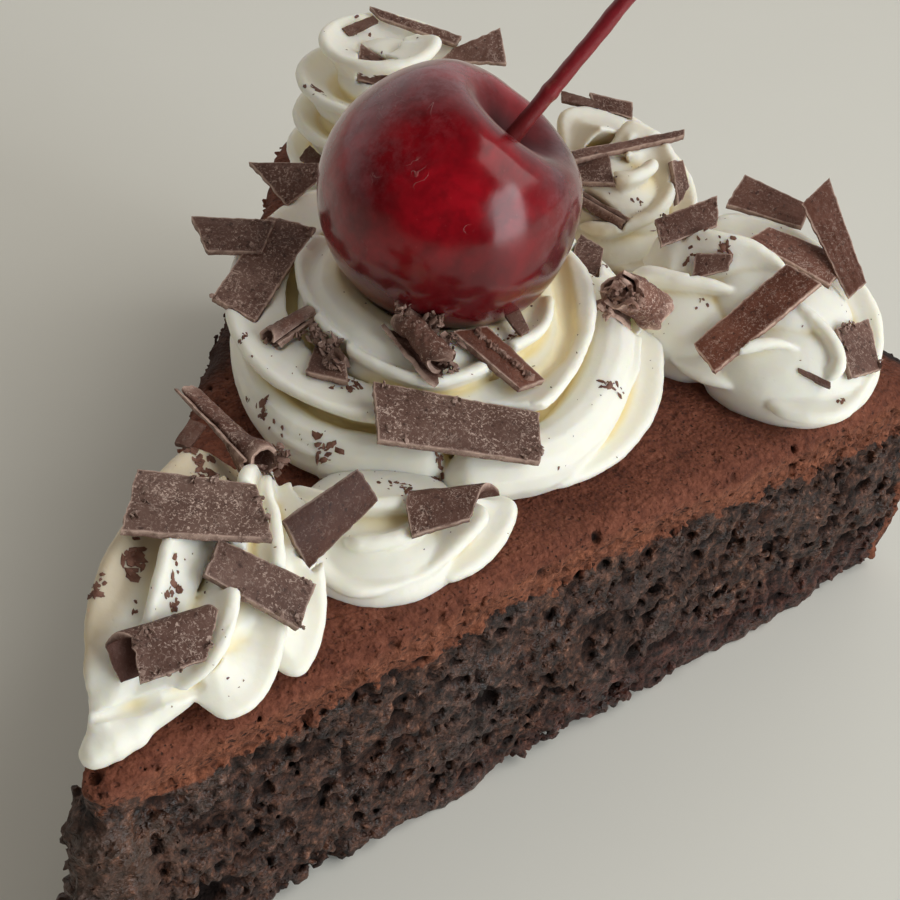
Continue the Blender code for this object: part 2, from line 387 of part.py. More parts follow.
# ---- the chocolate: thin slabs of a scraped bar. at: centre. turn: tilt in degrees about X, Y, Z.
# ends: where the long sides start and end, upper side first, then lower side. half: half width at the two ends.
# bend: how far the slab curves across, in degrees; fold: the part of the width that is folded back.
FLAKES = {
    "choc_slab_tip_long": dict(at=(23.1, 3.7, 44.2), turn=(4, 7, -55), ends=(-5.2, 5.3, 6.4, -6.5), half=(3.7, 3.2), bend=8),
    "choc_slab_tip_right": dict(at=(21.5, -3.8, 40.5), turn=(14, 27, -67), ends=(-4.6, 4.8, 4.7, -4.8), half=(1.9, 2.4), bend=10),
    "choc_fold_tip_left": dict(at=(12.1, -2.1, 39.9), turn=(34, -6, -38), ends=(-3.4, 6.0, 1.7, -4.2), half=(2.1, 1.8), bend=6),
    "choc_slab_front_tilted": dict(at=(33.0, -4.3, 39.9), turn=(58, -16, -17), ends=(-4.3, 4.4, 4.5, -4.7), half=(2.6, 1.8), bend=40),
    "choc_fold_front_right": dict(at=(41.1, -11.7, 37.7), turn=(24, -6, -53), ends=(-3.4, 4.5, 2.2, -3.3), half=(1.9, 0.9), bend=6),
    "choc_slab_rose_large": dict(at=(51.1, -7.6, 39.5), turn=(10, 8, -60), ends=(-8.5, 8.0, 8.1, -7.7), half=(3.6, 3.1), bend=6),
    "choc_slab_cherry_front": dict(at=(59.3, -7.6, 42.4), turn=(-2, 19, -97), ends=(-3.3, 4.6, 3.6, -4.9), half=(1.9, 1.6), bend=10),
    "choc_slab_left_upper": dict(at=(60.5, 20.3, 40.8), turn=(-5, 11, -174), ends=(-7.3, 7.2, 6.4, -6.3), half=(2.5, 2.6), bend=8),
    "choc_slab_left_lower": dict(at=(61.8, 24.7, 42.0), turn=(14, -2, -60), ends=(-4.5, 4.1, 2.9, -2.6), half=(2.3, 2.2), bend=8),
    "choc_sliver_back_left": dict(at=(74.1, 25.1, 42.5), turn=(28, -11, -47), ends=(-4.2, 3.0, 2.6, -1.4), half=(3.0, 0.8), bend=30),
    "choc_chip_rose_right": dict(at=(83.7, -5.9, 39.2), turn=(7, 0, -109), ends=(-3.4, -0.1, 4.0, -0.5), half=(2.4, 2.6), bend=10),
    "choc_chip_middle_far": dict(at=(107.9, 2.9, 43.2), turn=(38, 4, -72), ends=(-2.9, 2.1, 2.5, -1.8), half=(0.8, 0.9), bend=20),
    "choc_sliver_middle_long": dict(at=(100.8, -1.9, 43.2), turn=(6, -3, -38), ends=(-7.4, 7.9, 7.4, -7.8), half=(0.8, 0.5), bend=10),
    "choc_chip_middle_near": dict(at=(96.1, -0.3, 41.8), turn=(12, -16, -71), ends=(-3.3, 1.7, 2.7, -1.1), half=(1.9, 2.4), bend=10),
    "choc_chip_middle_right": dict(at=(101.5, -8.6, 41.2), turn=(-26, 36, -137), ends=(-2.2, 0.9, 3.3, -2.0), half=(0.9, 1.2), bend=10),
    "choc_slab_right_inner": dict(at=(92.0, -13.5, 42.6), turn=(27, -15, -40), ends=(-3.1, 4.3, 2.8, -3.9), half=(1.5, 1.6), bend=24),
    "choc_slab_right_far": dict(at=(100.9, -19.7, 42.6), turn=(16, 5, -84), ends=(-4.0, 4.2, 4.1, -4.3), half=(2.5, 1.6), bend=8),
    "choc_slab_right_upright": dict(at=(97.2, -28.5, 43.5), turn=(20, 33, -123), ends=(-6.8, 5.4, 6.3, -5.0), half=(1.9, 1.2), bend=8),
    "choc_slab_right_across": dict(at=(95.2, -25.4, 41.7), turn=(12, 9, -86), ends=(-4.2, 5.1, 4.5, -5.4), half=(1.4, 2.4), bend=12),
    "choc_slab_right_long": dict(at=(84.9, -24.8, 39.3), turn=(-5, 28, 154), ends=(-7.4, 7.4, 6.7, -6.7), half=(2.2, 2.0), bend=8),
    "choc_chip_right_edge": dict(at=(89.3, -35.4, 37.0), turn=(-22, 30, -136), ends=(-3.6, 2.3, 3.4, -2.1), half=(2.7, 2.4), bend=10),
    "choc_chip_right_small": dict(at=(88.9, -18.1, 40.8), turn=(37, -18, -67), ends=(-1.6, 2.3, 1.6, -2.3), half=(1.4, 0.8), bend=20),
    "choc_sliver_left_top": dict(at=(103.5, 26.7, 47.0), turn=(24, 6, -79), ends=(-6.0, 5.3, 5.0, -4.3), half=(0.5, 0.7), bend=10),
    "choc_slab_left_top": dict(at=(103.7, 19.1, 46.5), turn=(0, 35, -156), ends=(-3.2, 1.1, 1.9, 0.2), half=(2.6, 3.8), bend=8),
    "choc_chip_left_top": dict(at=(93.6, 26.4, 46.0), turn=(28, 11, -87), ends=(-3.3, 3.0, 1.4, -1.1), half=(2.1, 1.3), bend=20),
    "choc_chip_rose_left": dict(at=(51.9, 7.3, 39.8), turn=(0, -4, -85), ends=(-2.4, 0.7, 3.0, -1.4), half=(2.3, 2.0), bend=30),
}
# the rolled curls: axis from one end to the other, outer radius, turns of the sheet, angle where the sheet starts
CURLS = {
    "choc_curl_left_long": dict(a=(36.6, 13.4, 43.6), b=(33.0, 3.4, 42.6), radius=(1.8, 2.3), turns=1.25, start=60, shrink=0.48),
    "choc_curl_rose_right": dict(a=(74.8, -13.3, 43.6), b=(79.0, -15.6, 39.6), radius=(2.5, 2.9), turns=2.1, start=200, shrink=0.75),
    "choc_curl_cherry_front": dict(a=(56.6, 2.0, 44.6), b=(53.8, -4.0, 43.4), radius=(2.1, 1.9), turns=1.1, start=120, shrink=0.5),
    "choc_curl_left_small": dict(a=(51.9, 13.8, 40.2), b=(56.3, 12.3, 41.0), radius=(1.6, 1.3), turns=1.0, start=90, shrink=0.4),
    "choc_curl_middle_small": dict(a=(93.6, -0.2, 39.7), b=(92.8, -6.3, 39.1), radius=(0.9, 0.9), turns=0.85, start=40, shrink=0.2),
}
CHOC_T = 0.75                           # thickness of the slabs
CURL_T = 0.42                           # thickness of the rolled sheets


def rotation(turn):
    cx, cy, cz = (math.cos(math.radians(v)) for v in turn)
    sx, sy, sz = (math.sin(math.radians(v)) for v in turn)
    rx = np.array([[1, 0, 0], [0, cx, -sx], [0, sx, cx]])
    ry = np.array([[cy, 0, sy], [0, 1, 0], [-sy, 0, cy]])
    rz = np.array([[cz, -sz, 0], [sz, cz, 0], [0, 0, 1]])
    return rz @ ry @ rx


def slab_grid(ends, half, bend, nu, nv):
    """Mid-surface of a slab as rows of points, with the surface direction at each: u along, v across."""
    x0, x1, x2, x3 = ends
    grid, normal = [], []
    for i in range(nu + 1):
        u = i / nu
        h = half[0] * (1 - u) + half[1] * u
        for j in range(nv + 1):
            v = 1 - 2 * j / nv
            top, low = x0 + (x1 - x0) * u, x3 + (x2 - x3) * u
            x = (top * (1 + v) + low * (1 - v)) / 2
            y = h * v
            a = math.radians(bend) * v / 2
            if bend:
                r = h / math.radians(bend / 2)
                y, z = r * math.sin(a), r * (math.cos(a) - 1)
            else:
                z = 0.0
            grid.append((x, y, z))
            normal.append((0, math.sin(a), math.cos(a)))
    return np.array(grid), np.array(normal)


def slab_mesh(flake, nu, nv, thick, grow=0.0):
    """Closed slab: its mid-surface thickened both ways."""
    x0, x1, x2, x3 = flake["ends"]
    grid, normal = slab_grid((x0 - grow, x1 + grow, x2 + grow, x3 - grow), tuple(h + grow for h in flake["half"]), flake["bend"], nu, nv)
    m = rotation(flake["turn"])
    t = thick / 2 + grow
    verts = np.vstack([grid + normal * t, grid - normal * t]) @ m.T + np.array(flake["at"])
    n = len(grid)
    cols = nv + 1
    faces = []
    for i in range(nu):
        for j in range(nv):
            a = i * cols + j
            faces.append((a, a + 1, a + cols + 1, a + cols))
            faces.append((n + a, n + a + cols, n + a + cols + 1, n + a + 1))
    loop = [j for j in range(nv)] + [i * cols + nv for i in range(nu)] + [nu * cols + nv - j for j in range(nv)] + [(nu - i) * cols for i in range(nu)]
    for k, a in enumerate(loop):
        b = loop[(k + 1) % len(loop)]
        faces.append((b, a, n + a, n + b))
    return verts, faces


def curl_mesh(curl, nu, nv, thick, grow=0.0):
    """Closed rolled sheet: a spiral across, swept from one end of the axis to the other."""
    a, b = np.array(curl["a"]), np.array(curl["b"])
    axis = b - a
    length = np.linalg.norm(axis)
    axis /= length
    m = basis(axis, (0.1, 0.2, 1.0))
    r0, r1 = curl["radius"]
    outer, inner = [], []
    for i in range(nu + 1):
        u = i / nu
        r = r0 * (1 - u) + r1 * u
        for j in range(nv + 1):
            v = j / nv
            ang = math.radians(curl["start"] + 360 * curl["turns"] * v)
            mid = r * (1 - curl["shrink"] * v) - thick / 2
            end = grow if j == nv else (-grow if j == 0 else 0)
            ang += end / max(mid, 0.3)
            c = a + axis * (length * u + (grow if i == nu else (-grow if i == 0 else 0)))
            d = m[:, 0] * math.cos(ang) + m[:, 1] * math.sin(ang)
            outer.append(c + d * (mid + thick / 2 + grow))
            inner.append(c + d * max(mid - thick / 2 - grow, 0.05))
    verts = np.array(outer + inner)
    n, cols = len(outer), nv + 1
    faces = []
    for i in range(nu):
        for j in range(nv):
            p = i * cols + j
            faces.append((p, p + cols, p + cols + 1, p + 1))
            faces.append((n + p, n + p + 1, n + p + cols + 1, n + p + cols))
    loop = [j for j in range(nv)] + [i * cols + nv for i in range(nu)] + [nu * cols + nv - j for j in range(nv)] + [(nu - i) * cols for i in range(nu)]
    for k, p in enumerate(loop):
        q = loop[(k + 1) % len(loop)]
        faces.append((p, q, n + q, n + p))
    return verts, faces


# ---- the sponge: a slice with two cut sides, a domed top with rounded edges, and the baked outer side
SHOULDER = 1.9                      # rounding of the top edges
TIP_ROUND = 1.6
CENTRE = (72.0, 0.0)                # point of the slice that the rings close on


def slice_outline(n_side, n_rim):
    """Closed outline seen from above, counter-clockwise from the tip, with outward directions and the share that is rim."""
    half = APEX / 2
    pts, out, rim, inwards = [], [], [], []
    corner = 3.0

    def add(x, y, nx, ny, r, slide=None):
        # slide: how far towards the rim the point moves for each millimetre of inset, so that rings close on the tip
        pts.append((x, y))
        out.append((nx, ny))
        rim.append(r)
        if slide is None:
            inwards.append((-nx, -ny))
        elif slide == "tip":
            inwards.append((1 / math.sin(half), 0.0))
        else:
            side = 1 if y > 0 else -1
            inwards.append((-nx + slide * math.cos(half), -ny + side * slide * math.sin(half)))

    # the rounded tip
    for k in range(-2, 3):
        a = math.pi - k * (math.pi / 2 - half) / 2.0 * -1
        c = TIP_ROUND / math.sin(half)
        add(c + TIP_ROUND * math.cos(a), TIP_ROUND * math.sin(a), math.cos(a), math.sin(a), 0.0, "tip")
    start = TIP_ROUND / math.tan(half)
    end = math.sqrt((CAKE_R - corner) ** 2 - corner ** 2)
    # the right cut side
    for i in range(1, n_side):
        s = start + (end - start) * i / (n_side - 1)
        add(s * math.cos(half), -s * math.sin(half), -math.sin(half), -math.cos(half), 0.0, (1 - i / (n_side - 1)) / math.tan(half))
    # corner, baked side, corner
    da = math.asin(corner / (CAKE_R - corner))
    cx = end * math.cos(half) + corner * math.sin(half)
    cy = end * math.sin(half) - corner * math.cos(half)
    for k in (1, 2, 3):
        a = -half - math.pi / 2 + (math.pi / 2 + da) * k / 4
        add(cx + corner * math.cos(a), -cy + corner * math.sin(a), math.cos(a), math.sin(a), k / 4)
    for i in range(n_rim + 1):
        a = -half + da + (2 * half - 2 * da) * i / n_rim
        add(CAKE_R * math.cos(a), CAKE_R * math.sin(a), math.cos(a), math.sin(a), 1.0)
    for k in (3, 2, 1):
        a = half + math.pi / 2 - (math.pi / 2 + da) * k / 4
        add(cx + corner * math.cos(a), cy + corner * math.sin(a), math.cos(a), math.sin(a), k / 4)
    for i in range(n_side - 1, 0, -1):
        s = start + (end - start) * i / (n_side - 1)
        add(s * math.cos(half), s * math.sin(half), -math.sin(half), math.cos(half), 0.0, (1 - i / (n_side - 1)) / math.tan(half))
    return np.array(pts), np.array(out), np.array(rim), np.array(inwards)


def cut_wander(x, y, z):
    """How far a cut side strays from flat, in millimetres."""
    return 0.45 * np.sin(x * 0.13 + z * 0.21 + np.sign(y) * 1.3) + 0.25 * np.sin(x * 0.41 - z * 0.33 + y)


def sponge_mesh(n_side, n_rim, walls, caps, grow=0.0):
    """Closed slice built of rings, from the middle of its base, up the sides and in over the top."""
    pts, out, rim, inwards = slice_outline(n_side, n_rim)
    levels = []
    for inset, z in ((1.6, 0.0), (0.7, 0.5), (0.2, 2.2)):
        levels.append((inset * (1 + 0.7 * rim), np.full(len(pts), z) - (grow if z == 0 else 0)))
    top = top_z(pts[:, 0], pts[:, 1])
    for w in range(1, walls + 1):
        levels.append((np.zeros(len(pts)), 2.2 + (top - SHOULDER - 2.2) * w / walls))
    for a in (30, 60, 90):
        r = SHOULDER * (1 + 0.4 * rim)
        levels.append((r * (1 - math.cos(math.radians(a))), top - SHOULDER + (SHOULDER + grow) * math.sin(math.radians(a))))
    verts = [np.array([[CENTRE[0], CENTRE[1], levels[0][1][0]]])]
    for inset, z in levels:
        xy = pts + inwards * (inset - grow)[:, None]
        stray = cut_wander(xy[:, 0], xy[:, 1], z) * (1 - rim) * np.clip(z / 6, 0, 1) * np.clip((xy[:, 0] - 3) / 8, 0, 1)
        xy = xy + out * stray[:, None]
        verts.append(np.column_stack([xy, z]))
    ring = verts[-1]
    for k in range(1, caps + 1):
        f = k / (caps + 1)
        xy = ring[:, :2] * (1 - f) + np.array(CENTRE) * f
        verts.append(np.column_stack([xy, top_z(xy[:, 0], xy[:, 1]) + grow + 0.12 * np.sin(xy[:, 0] * 0.3) * np.cos(xy[:, 1] * 0.27)]))
    verts.append(np.array([[CENTRE[0], CENTRE[1], float(top_z(*CENTRE)) + grow]]))
    n = len(pts)
    count = len(levels) + caps
    faces = [(0, 1 + (j + 1) % n, 1 + j) for j in range(n)]
    for i in range(count - 1):
        for j in range(n):
            a, b = 1 + i * n + j, 1 + i * n + (j + 1) % n
            faces.append((a, b, b + n, a + n))
    last = 1 + (count - 1) * n
    faces += [(last + j, last + (j + 1) % n, last + n) for j in range(n)]
    return np.vstack(verts), faces


# ---- building the objects
GAP = 0.3                           # space kept between neighbouring pieces, in millimetres


def material(name, colour, roughness, metallic=0.0):
    m = bpy.data.materials.new(name)
    m.use_nodes = True
    shader = m.node_tree.nodes["Principled BSDF"]
    shader.inputs["Base Color"].default_value = (*colour, 1.0)
    shader.inputs["Roughness"].default_value = roughness
    shader.inputs["Metallic"].default_value = metallic
    return m


SPONGE = material("chocolate_sponge", (0.045, 0.022, 0.016), 0.9)
CREAM = material("whipped_cream", (0.86, 0.82, 0.68), 0.45)
CHERRY = material("cherry_skin", (0.16, 0.006, 0.012), 0.15)
STEM = material("cherry_stem", (0.17, 0.01, 0.014), 0.4)
CHOCOLATE = material("dark_chocolate", (0.060, 0.045, 0.034), 0.6)


def to_object(name, parts, mat):
    """One mesh object from bodies given in millimetres."""
    verts, faces = [], []
    for v, f in parts:
        start = len(verts)
        verts += [((p[0] - SHIFT_X) * MM, p[1] * MM, p[2] * MM) for p in v]
        faces += [tuple(i + start for i in face) for face in f]
    mesh = bpy.data.meshes.new(name)
    mesh.from_pydata(verts, [], faces)
    bm = bmesh.new()
    bm.from_mesh(mesh)
    bmesh.ops.recalc_face_normals(bm, faces=bm.faces)
    bm.to_mesh(mesh)
    bm.free()
    mesh.materials.append(mat)
    obj = bpy.data.objects.new(name, mesh)
    bpy.context.scene.collection.objects.link(obj)
    return obj


def settle(obj):
    """Turns the object's modifiers into its mesh."""
    bpy.context.view_layer.update()
    graph = bpy.context.evaluated_depsgraph_get()
    mesh = bpy.data.meshes.new_from_object(obj.evaluated_get(graph))
    obj.modifiers.clear()
    obj.data = mesh
    return obj


def subtract(obj, cutter):
    """Takes the cutter away from the object. A rough body can defeat the plain solver, so an empty answer is worked out again for a body that touches itself."""
    before = obj.data
    for own in (False, True):
        obj.data = before
        m = obj.modifiers.new("cut", "BOOLEAN")
        m.operation = "DIFFERENCE"
        m.solver = "EXACT"
        m.use_self = own
        m.object = cutter
        settle(obj)
        if len(obj.data.polygons) > 0.2 * len(before.polygons):
            break
    return obj


def largest_body(obj):
    """Drops crumbs that a cut left beside the main body, and welds slivers."""
    bm = bmesh.new()
    bm.from_mesh(obj.data)
    bmesh.ops.triangulate(bm, faces=bm.faces)
    bm.verts.ensure_lookup_table()
    seen, groups = set(), []
    for v in bm.verts:
        if v in seen:
            continue
        stack, group = [v], []
        seen.add(v)
        while stack:
            w = stack.pop()
            group.append(w)
            for e in w.link_edges:
                o = e.other_vert(w)
                if o not in seen:
                    seen.add(o)
                    stack.append(o)
        groups.append(group)
    groups.sort(key=len)
    for group in groups[:-1]:
        bmesh.ops.delete(bm, geom=group, context="VERTS")
    bm.to_mesh(obj.data)
    bm.free()
    return obj


def helper(obj):
    obj.hide_render = True
    obj.display_type = "WIRE"
    return obj


def drop(obj):
    bpy.data.objects.remove(obj, do_unlink=True)


# the sponge and the space just above it
sponge = to_object("sponge", [sponge_mesh(17, 12, 2, 2)], SPONGE)
sponge.data.shade_smooth()
above = helper(to_object("above_sponge", [sponge_mesh(17, 12, 2, 2, grow=GAP)], SPONGE))

# the cherry and its stem
cherry = to_object("cherry", [cherry_mesh(16, 24)], CHERRY)
cherry.data.shade_smooth()
cherry_room = helper(to_object("cherry_room", [cherry_mesh(16, 24, GAP)], CHERRY))
stem = to_object("cherry_stem", [tube(stem_line(4.2), stem_radius, 8)], STEM)
largest_body(subtract(stem, cherry_room))
stem.data.shade_smooth()

# the chocolate
chocolate = {}
for name, flake in FLAKES.items():
    chocolate[name] = to_object(name, [slab_mesh(flake, 2, 2, CHOC_T)], CHOCOLATE)
for name, curl in CURLS.items():
    chocolate[name] = to_object(name, [curl_mesh(curl, 1, 14, CURL_T)], CHOCOLATE)


def room_for(name):
    """The space that a piece of chocolate needs, a gap larger all round."""
    if name in FLAKES:
        body = slab_mesh(FLAKES[name], 2, 2, CHOC_T, GAP)
    else:
        a, b = np.array(CURLS[name]["a"]), np.array(CURLS[name]["b"])
        along = (b - a) / np.linalg.norm(b - a) * GAP
        r0, r1 = CURLS[name]["radius"]
        body = tube(np.array([a - along, b + along]), lambda t: (r0 * (1 - t) + r1 * t) * 1.04 + GAP, 14)
    return helper(to_object(name + "_room", [body], CHOCOLATE))


def box_of(obj):
    co = np.array([v.co[:] for v in obj.data.vertices])
    return co.min(0), co.max(0)


def meet(a, b):
    (la, ha), (lb, hb) = box_of(a), box_of(b)
    return bool((la < hb).all() and (lb < ha).all())


# the cream: ridges and cores of a piping are joined into one skin, then cut to what it lies on
FACES = {"cream_rosette_centre": 0.042, "cream_shell_front": 0.060, "cream_dollop_side": 0.056, "cream_rosette_right": 0.056, "cream_rosette_middle": 0.056, "cream_rosette_left": 0.066}
ORDER = ["cream_rosette_centre", "cream_shell_front", "cream_dollop_side", "cream_rosette_right", "cream_rosette_middle", "cream_rosette_left"]
cream, cream_rooms = {}, []
for name in ORDER:
    obj = to_object(name, PIPINGS[name](1.2), CREAM)
    skin = obj.modifiers.new("one skin", "REMESH")
    skin.mode = "VOXEL"
    skin.voxel_size = 0.55 * MM
    ease = obj.modifiers.new("ease", "SMOOTH")
    ease.factor = 0.5
    ease.iterations = 3
    fewer = obj.modifiers.new("fewer faces", "DECIMATE")
    fewer.ratio = FACES[name]
    settle(obj)
    largest_body(obj)
    room = obj.copy()
    room.data = obj.data.copy()
    room.name = name + "_room"
    bpy.context.scene.collection.objects.link(room)
    grow = room.modifiers.new("grow", "DISPLACE")
    grow.strength = GAP * MM
    grow.mid_level = 0.0
    helper(settle(room))
    cream[name] = obj
    cream_rooms.append((name, room))

for k, name in enumerate(ORDER):
    obj = cream[name]
    for other, room in cream_rooms[:k]:
        if meet(obj, room):
            subtract(obj, room)
    subtract(obj, above)
    if meet(obj, cherry_room):
        subtract(obj, cherry_room)
    largest_body(obj)

# the chocolate presses into the cream; where two pieces cross, the later one gives way
names = list(chocolate)
rooms = {name: room_for(name) for name in names}
for k, name in enumerate(names):
    for obj in cream.values():
        if meet(obj, rooms[name]):
            subtract(obj, rooms[name])
            largest_body(obj)
    for other in names[:k]:
        if meet(chocolate[name], rooms[other]):
            subtract(chocolate[name], rooms[other])
            largest_body(chocolate[name])
    if meet(chocolate[name], cherry_room):
        subtract(chocolate[name], cherry_room)
        largest_body(chocolate[name])

# the cuts leave short edges, which are merged until each piping has about this many triangles
TRIANGLES = {"cream_rosette_centre": 2100, "cream_shell_front": 960, "cream_dollop_side": 620, "cream_rosette_right": 980, "cream_rosette_middle": 760, "cream_rosette_left": 980}
for name, obj in cream.items():
    obj.data.calc_loop_triangles()
    fewer = obj.modifiers.new("fewer faces", "DECIMATE")
    fewer.ratio = min(1.0, TRIANGLES[name] / len(obj.data.loop_triangles))
    settle(obj)
    obj.data.shade_smooth()

for obj in [above, cherry_room] + [room for _, room in cream_rooms] + list(rooms.values()):
    drop(obj)
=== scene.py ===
import json
import math

import bpy
import bmesh
import numpy as np
import openvdb
from mathutils import Matrix, Vector
from mathutils.bvhtree import BVHTree

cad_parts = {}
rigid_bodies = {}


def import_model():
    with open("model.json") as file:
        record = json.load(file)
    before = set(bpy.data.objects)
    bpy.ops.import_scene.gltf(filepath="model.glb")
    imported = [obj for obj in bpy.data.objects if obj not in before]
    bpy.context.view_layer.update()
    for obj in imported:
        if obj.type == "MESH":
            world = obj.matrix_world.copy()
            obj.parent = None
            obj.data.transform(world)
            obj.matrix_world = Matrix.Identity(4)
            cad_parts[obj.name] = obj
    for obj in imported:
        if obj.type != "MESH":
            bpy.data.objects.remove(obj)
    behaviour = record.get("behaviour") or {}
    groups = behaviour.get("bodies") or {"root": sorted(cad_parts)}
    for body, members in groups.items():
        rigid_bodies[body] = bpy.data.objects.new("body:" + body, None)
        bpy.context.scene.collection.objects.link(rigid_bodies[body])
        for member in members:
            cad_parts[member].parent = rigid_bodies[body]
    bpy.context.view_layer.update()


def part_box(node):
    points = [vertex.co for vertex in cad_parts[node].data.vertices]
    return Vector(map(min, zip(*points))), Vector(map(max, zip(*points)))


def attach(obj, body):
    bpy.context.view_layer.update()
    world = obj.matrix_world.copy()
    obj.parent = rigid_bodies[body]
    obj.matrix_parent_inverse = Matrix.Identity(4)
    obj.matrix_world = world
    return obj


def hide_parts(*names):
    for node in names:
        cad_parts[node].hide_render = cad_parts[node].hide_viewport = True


for o in list(bpy.data.objects):
    bpy.data.objects.remove(o, do_unlink=True)
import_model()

# ---- sizes of the slice, in millimetres; the tip of the slice is the working origin and +X its middle line
CAKE_R = 112.0                      # radius of the whole cake
APEX = math.radians(45.4)           # angle of the slice, an eighth of the cake
H_TIP, H_MID, H_RIM = 29.9, 31.0, 27.2   # height of the sponge at tip, half way and rim
SHIFT_X = 57.27                     # the object's origin lies this far from the tip, half way along
MM = 0.001


def top_z(x, y):
    """Height of the domed top of the sponge above a point."""
    s = np.clip(np.hypot(x, y) / CAKE_R, 0, 1)
    return H_TIP * (1 - s) * (1 - 2 * s) + H_MID * 4 * s * (1 - s) + H_RIM * s * (2 * s - 1)


def smooth_path(keys, step):
    """Catmull-Rom curve through rows of numbers, read about every `step` millimetres."""
    k = np.array(keys, float)
    k = np.vstack([2 * k[0] - k[1], k, 2 * k[-1] - k[-2]])
    rows = []
    for i in range(1, len(k) - 2):
        a, b, c, d = k[i - 1], k[i], k[i + 1], k[i + 2]
        n = max(2, int(math.ceil(np.linalg.norm(c[:3] - b[:3]) / step)))
        for j in range(n):
            t = j / n
            rows.append(0.5 * (2 * b + (c - a) * t + (2 * a - 5 * b + 4 * c - d) * t * t + (3 * b - a - 3 * c + d) * t ** 3))
    rows.append(k[-2])
    return np.array(rows)


def ridge_section(half, depth, tip):
    """Closed outline of one piped ridge: a narrow rounded crest at (0, 0) with hollow flanks that spread inwards."""
    side = []
    tip = tip * 0.62
    for a in (0, 30, 60, 88):
        side.append((tip * math.sin(math.radians(a)), -tip * (1 - math.cos(math.radians(a)))))
    for f in (0.25, 0.5, 0.75, 1.0):
        side.append((tip + (half - tip) * f ** 1.45, -tip - (depth - tip) * f))
    left = [(-s, t) for s, t in side[1:]]
    return np.array(left[::-1] + side)


def round_section(half, depth, tip):
    """Closed outline of a smooth roll, wide and rounded."""
    return np.array([(half * math.sin(a), -depth / 2 + depth / 2 * math.cos(a)) for a in np.linspace(-math.pi, math.pi, 15)[1:]])


def sweep(path, aim, section, half, depth, tip, step, ease=(3.5, 3.5)):
    """Body swept along path. aim gives the crest's outward direction at each row of the path. The ends ease in."""
    rows = smooth_path(path, step)
    p = rows[:, :3]
    scale = rows[:, 3] if rows.shape[1] > 3 else np.ones(len(p))
    run = np.concatenate([[0], np.cumsum(np.linalg.norm(np.diff(p, axis=0), axis=1))])
    total = run[-1]
    tangent = np.gradient(p, axis=0)
    tangent /= np.linalg.norm(tangent, axis=1)[:, None]
    out = np.array([aim(q) for q in p])
    out -= (out * tangent).sum(1)[:, None] * tangent
    out /= np.linalg.norm(out, axis=1)[:, None]
    side = np.cross(tangent, out)
    base = section(half, depth, tip)
    rings = []
    for i in range(len(p)):
        e0 = min(1, run[i] / ease[0]) if ease[0] else 1
        e1 = min(1, (total - run[i]) / ease[1]) if ease[1] else 1
        e = math.sin(min(e0, e1) * math.pi / 2)
        e = max(e, 0.12)
        ring = base * scale[i] * (0.25 + 0.75 * e)
        centre = p[i] - out[i] * depth * scale[i] * 0.75 * (1 - e)
        rings.append(centre + ring[:, :1] * side[i] + ring[:, 1:] * out[i])
    n = len(base)
    verts = np.vstack(rings + [rings[0].mean(0)[None], rings[-1].mean(0)[None]])
    faces = []
    for i in range(len(rings) - 1):
        for j in range(n):
            a, b = i * n + j, i * n + (j + 1) % n
            faces.append((a, b, b + n, a + n))
    last = (len(rings) - 1) * n
    for j in range(n):
        faces.append(((j + 1) % n, j, len(verts) - 2))
        faces.append((last + j, last + (j + 1) % n, len(verts) - 1))
    return verts, faces


def blob(centre, radii, rows=10, cols=20):
    """Ellipsoid."""
    verts = [(0, 0, -1)]
    for i in range(1, rows):
        a = -math.pi / 2 + math.pi * i / rows
        verts += [(math.cos(a) * math.cos(2 * math.pi * j / cols), math.cos(a) * math.sin(2 * math.pi * j / cols), math.sin(a)) for j in range(cols)]
    verts.append((0, 0, 1))
    faces = [(0, 1 + (j + 1) % cols, 1 + j) for j in range(cols)]
    for i in range(rows - 2):
        for j in range(cols):
            a, b = 1 + i * cols + j, 1 + i * cols + (j + 1) % cols
            faces.append((a, b, b + cols, a + cols))
    top = 1 + (rows - 2) * cols
    faces += [(top + j, top + (j + 1) % cols, len(verts) - 1) for j in range(cols)]
    return np.array(verts) * np.array(radii) + np.array(centre), faces


def polar(centre, keys):
    """Path from rows of angle in degrees, radius and height about a centre."""
    return [(centre[0] + r * math.cos(math.radians(a)), centre[1] + r * math.sin(math.radians(a)), z) + tuple(rest) for a, r, z, *rest in keys]


def from_point(c):
    return lambda q: np.array(q) - np.array(c)


def from_line(keys):
    """Aim away from the nearest point of a line."""
    line = smooth_path(keys, 1.0)[:, :3]
    return lambda q: q - line[np.argmin(((line - q) ** 2).sum(1))]


def from_axis(centre, lift):
    """Aim outwards from a vertical axis, raised by lift degrees."""
    def aim(q):
        d = np.array([q[0] - centre[0], q[1] - centre[1]])
        d /= np.linalg.norm(d)
        return np.array([d[0] * math.cos(math.radians(lift)), d[1] * math.cos(math.radians(lift)), math.sin(math.radians(lift))])
    return aim


# ---- the piped cream: each piping is a few rounded cores and the ridges that the star nozzle left on them
ROSE = (69.5, 3.5)                  # centre of the big rosette
RIGHT = (90.0, -26.5)               # rosette at the right corner of the rim
MIDDLE = (99.0, -1.0)               # rosette in the middle of the rim
LEFT = (97.0, 26.6)                 # rosette at the left corner of the rim
SPINE = [(3.8, 1.0, 31.5), (8.5, 1.2, 34.5), (15.0, 0.8, 35.5), (23.0, 0.8, 36.0), (31.0, 2.6, 36.0), (37.0, 4.0, 35.5)]


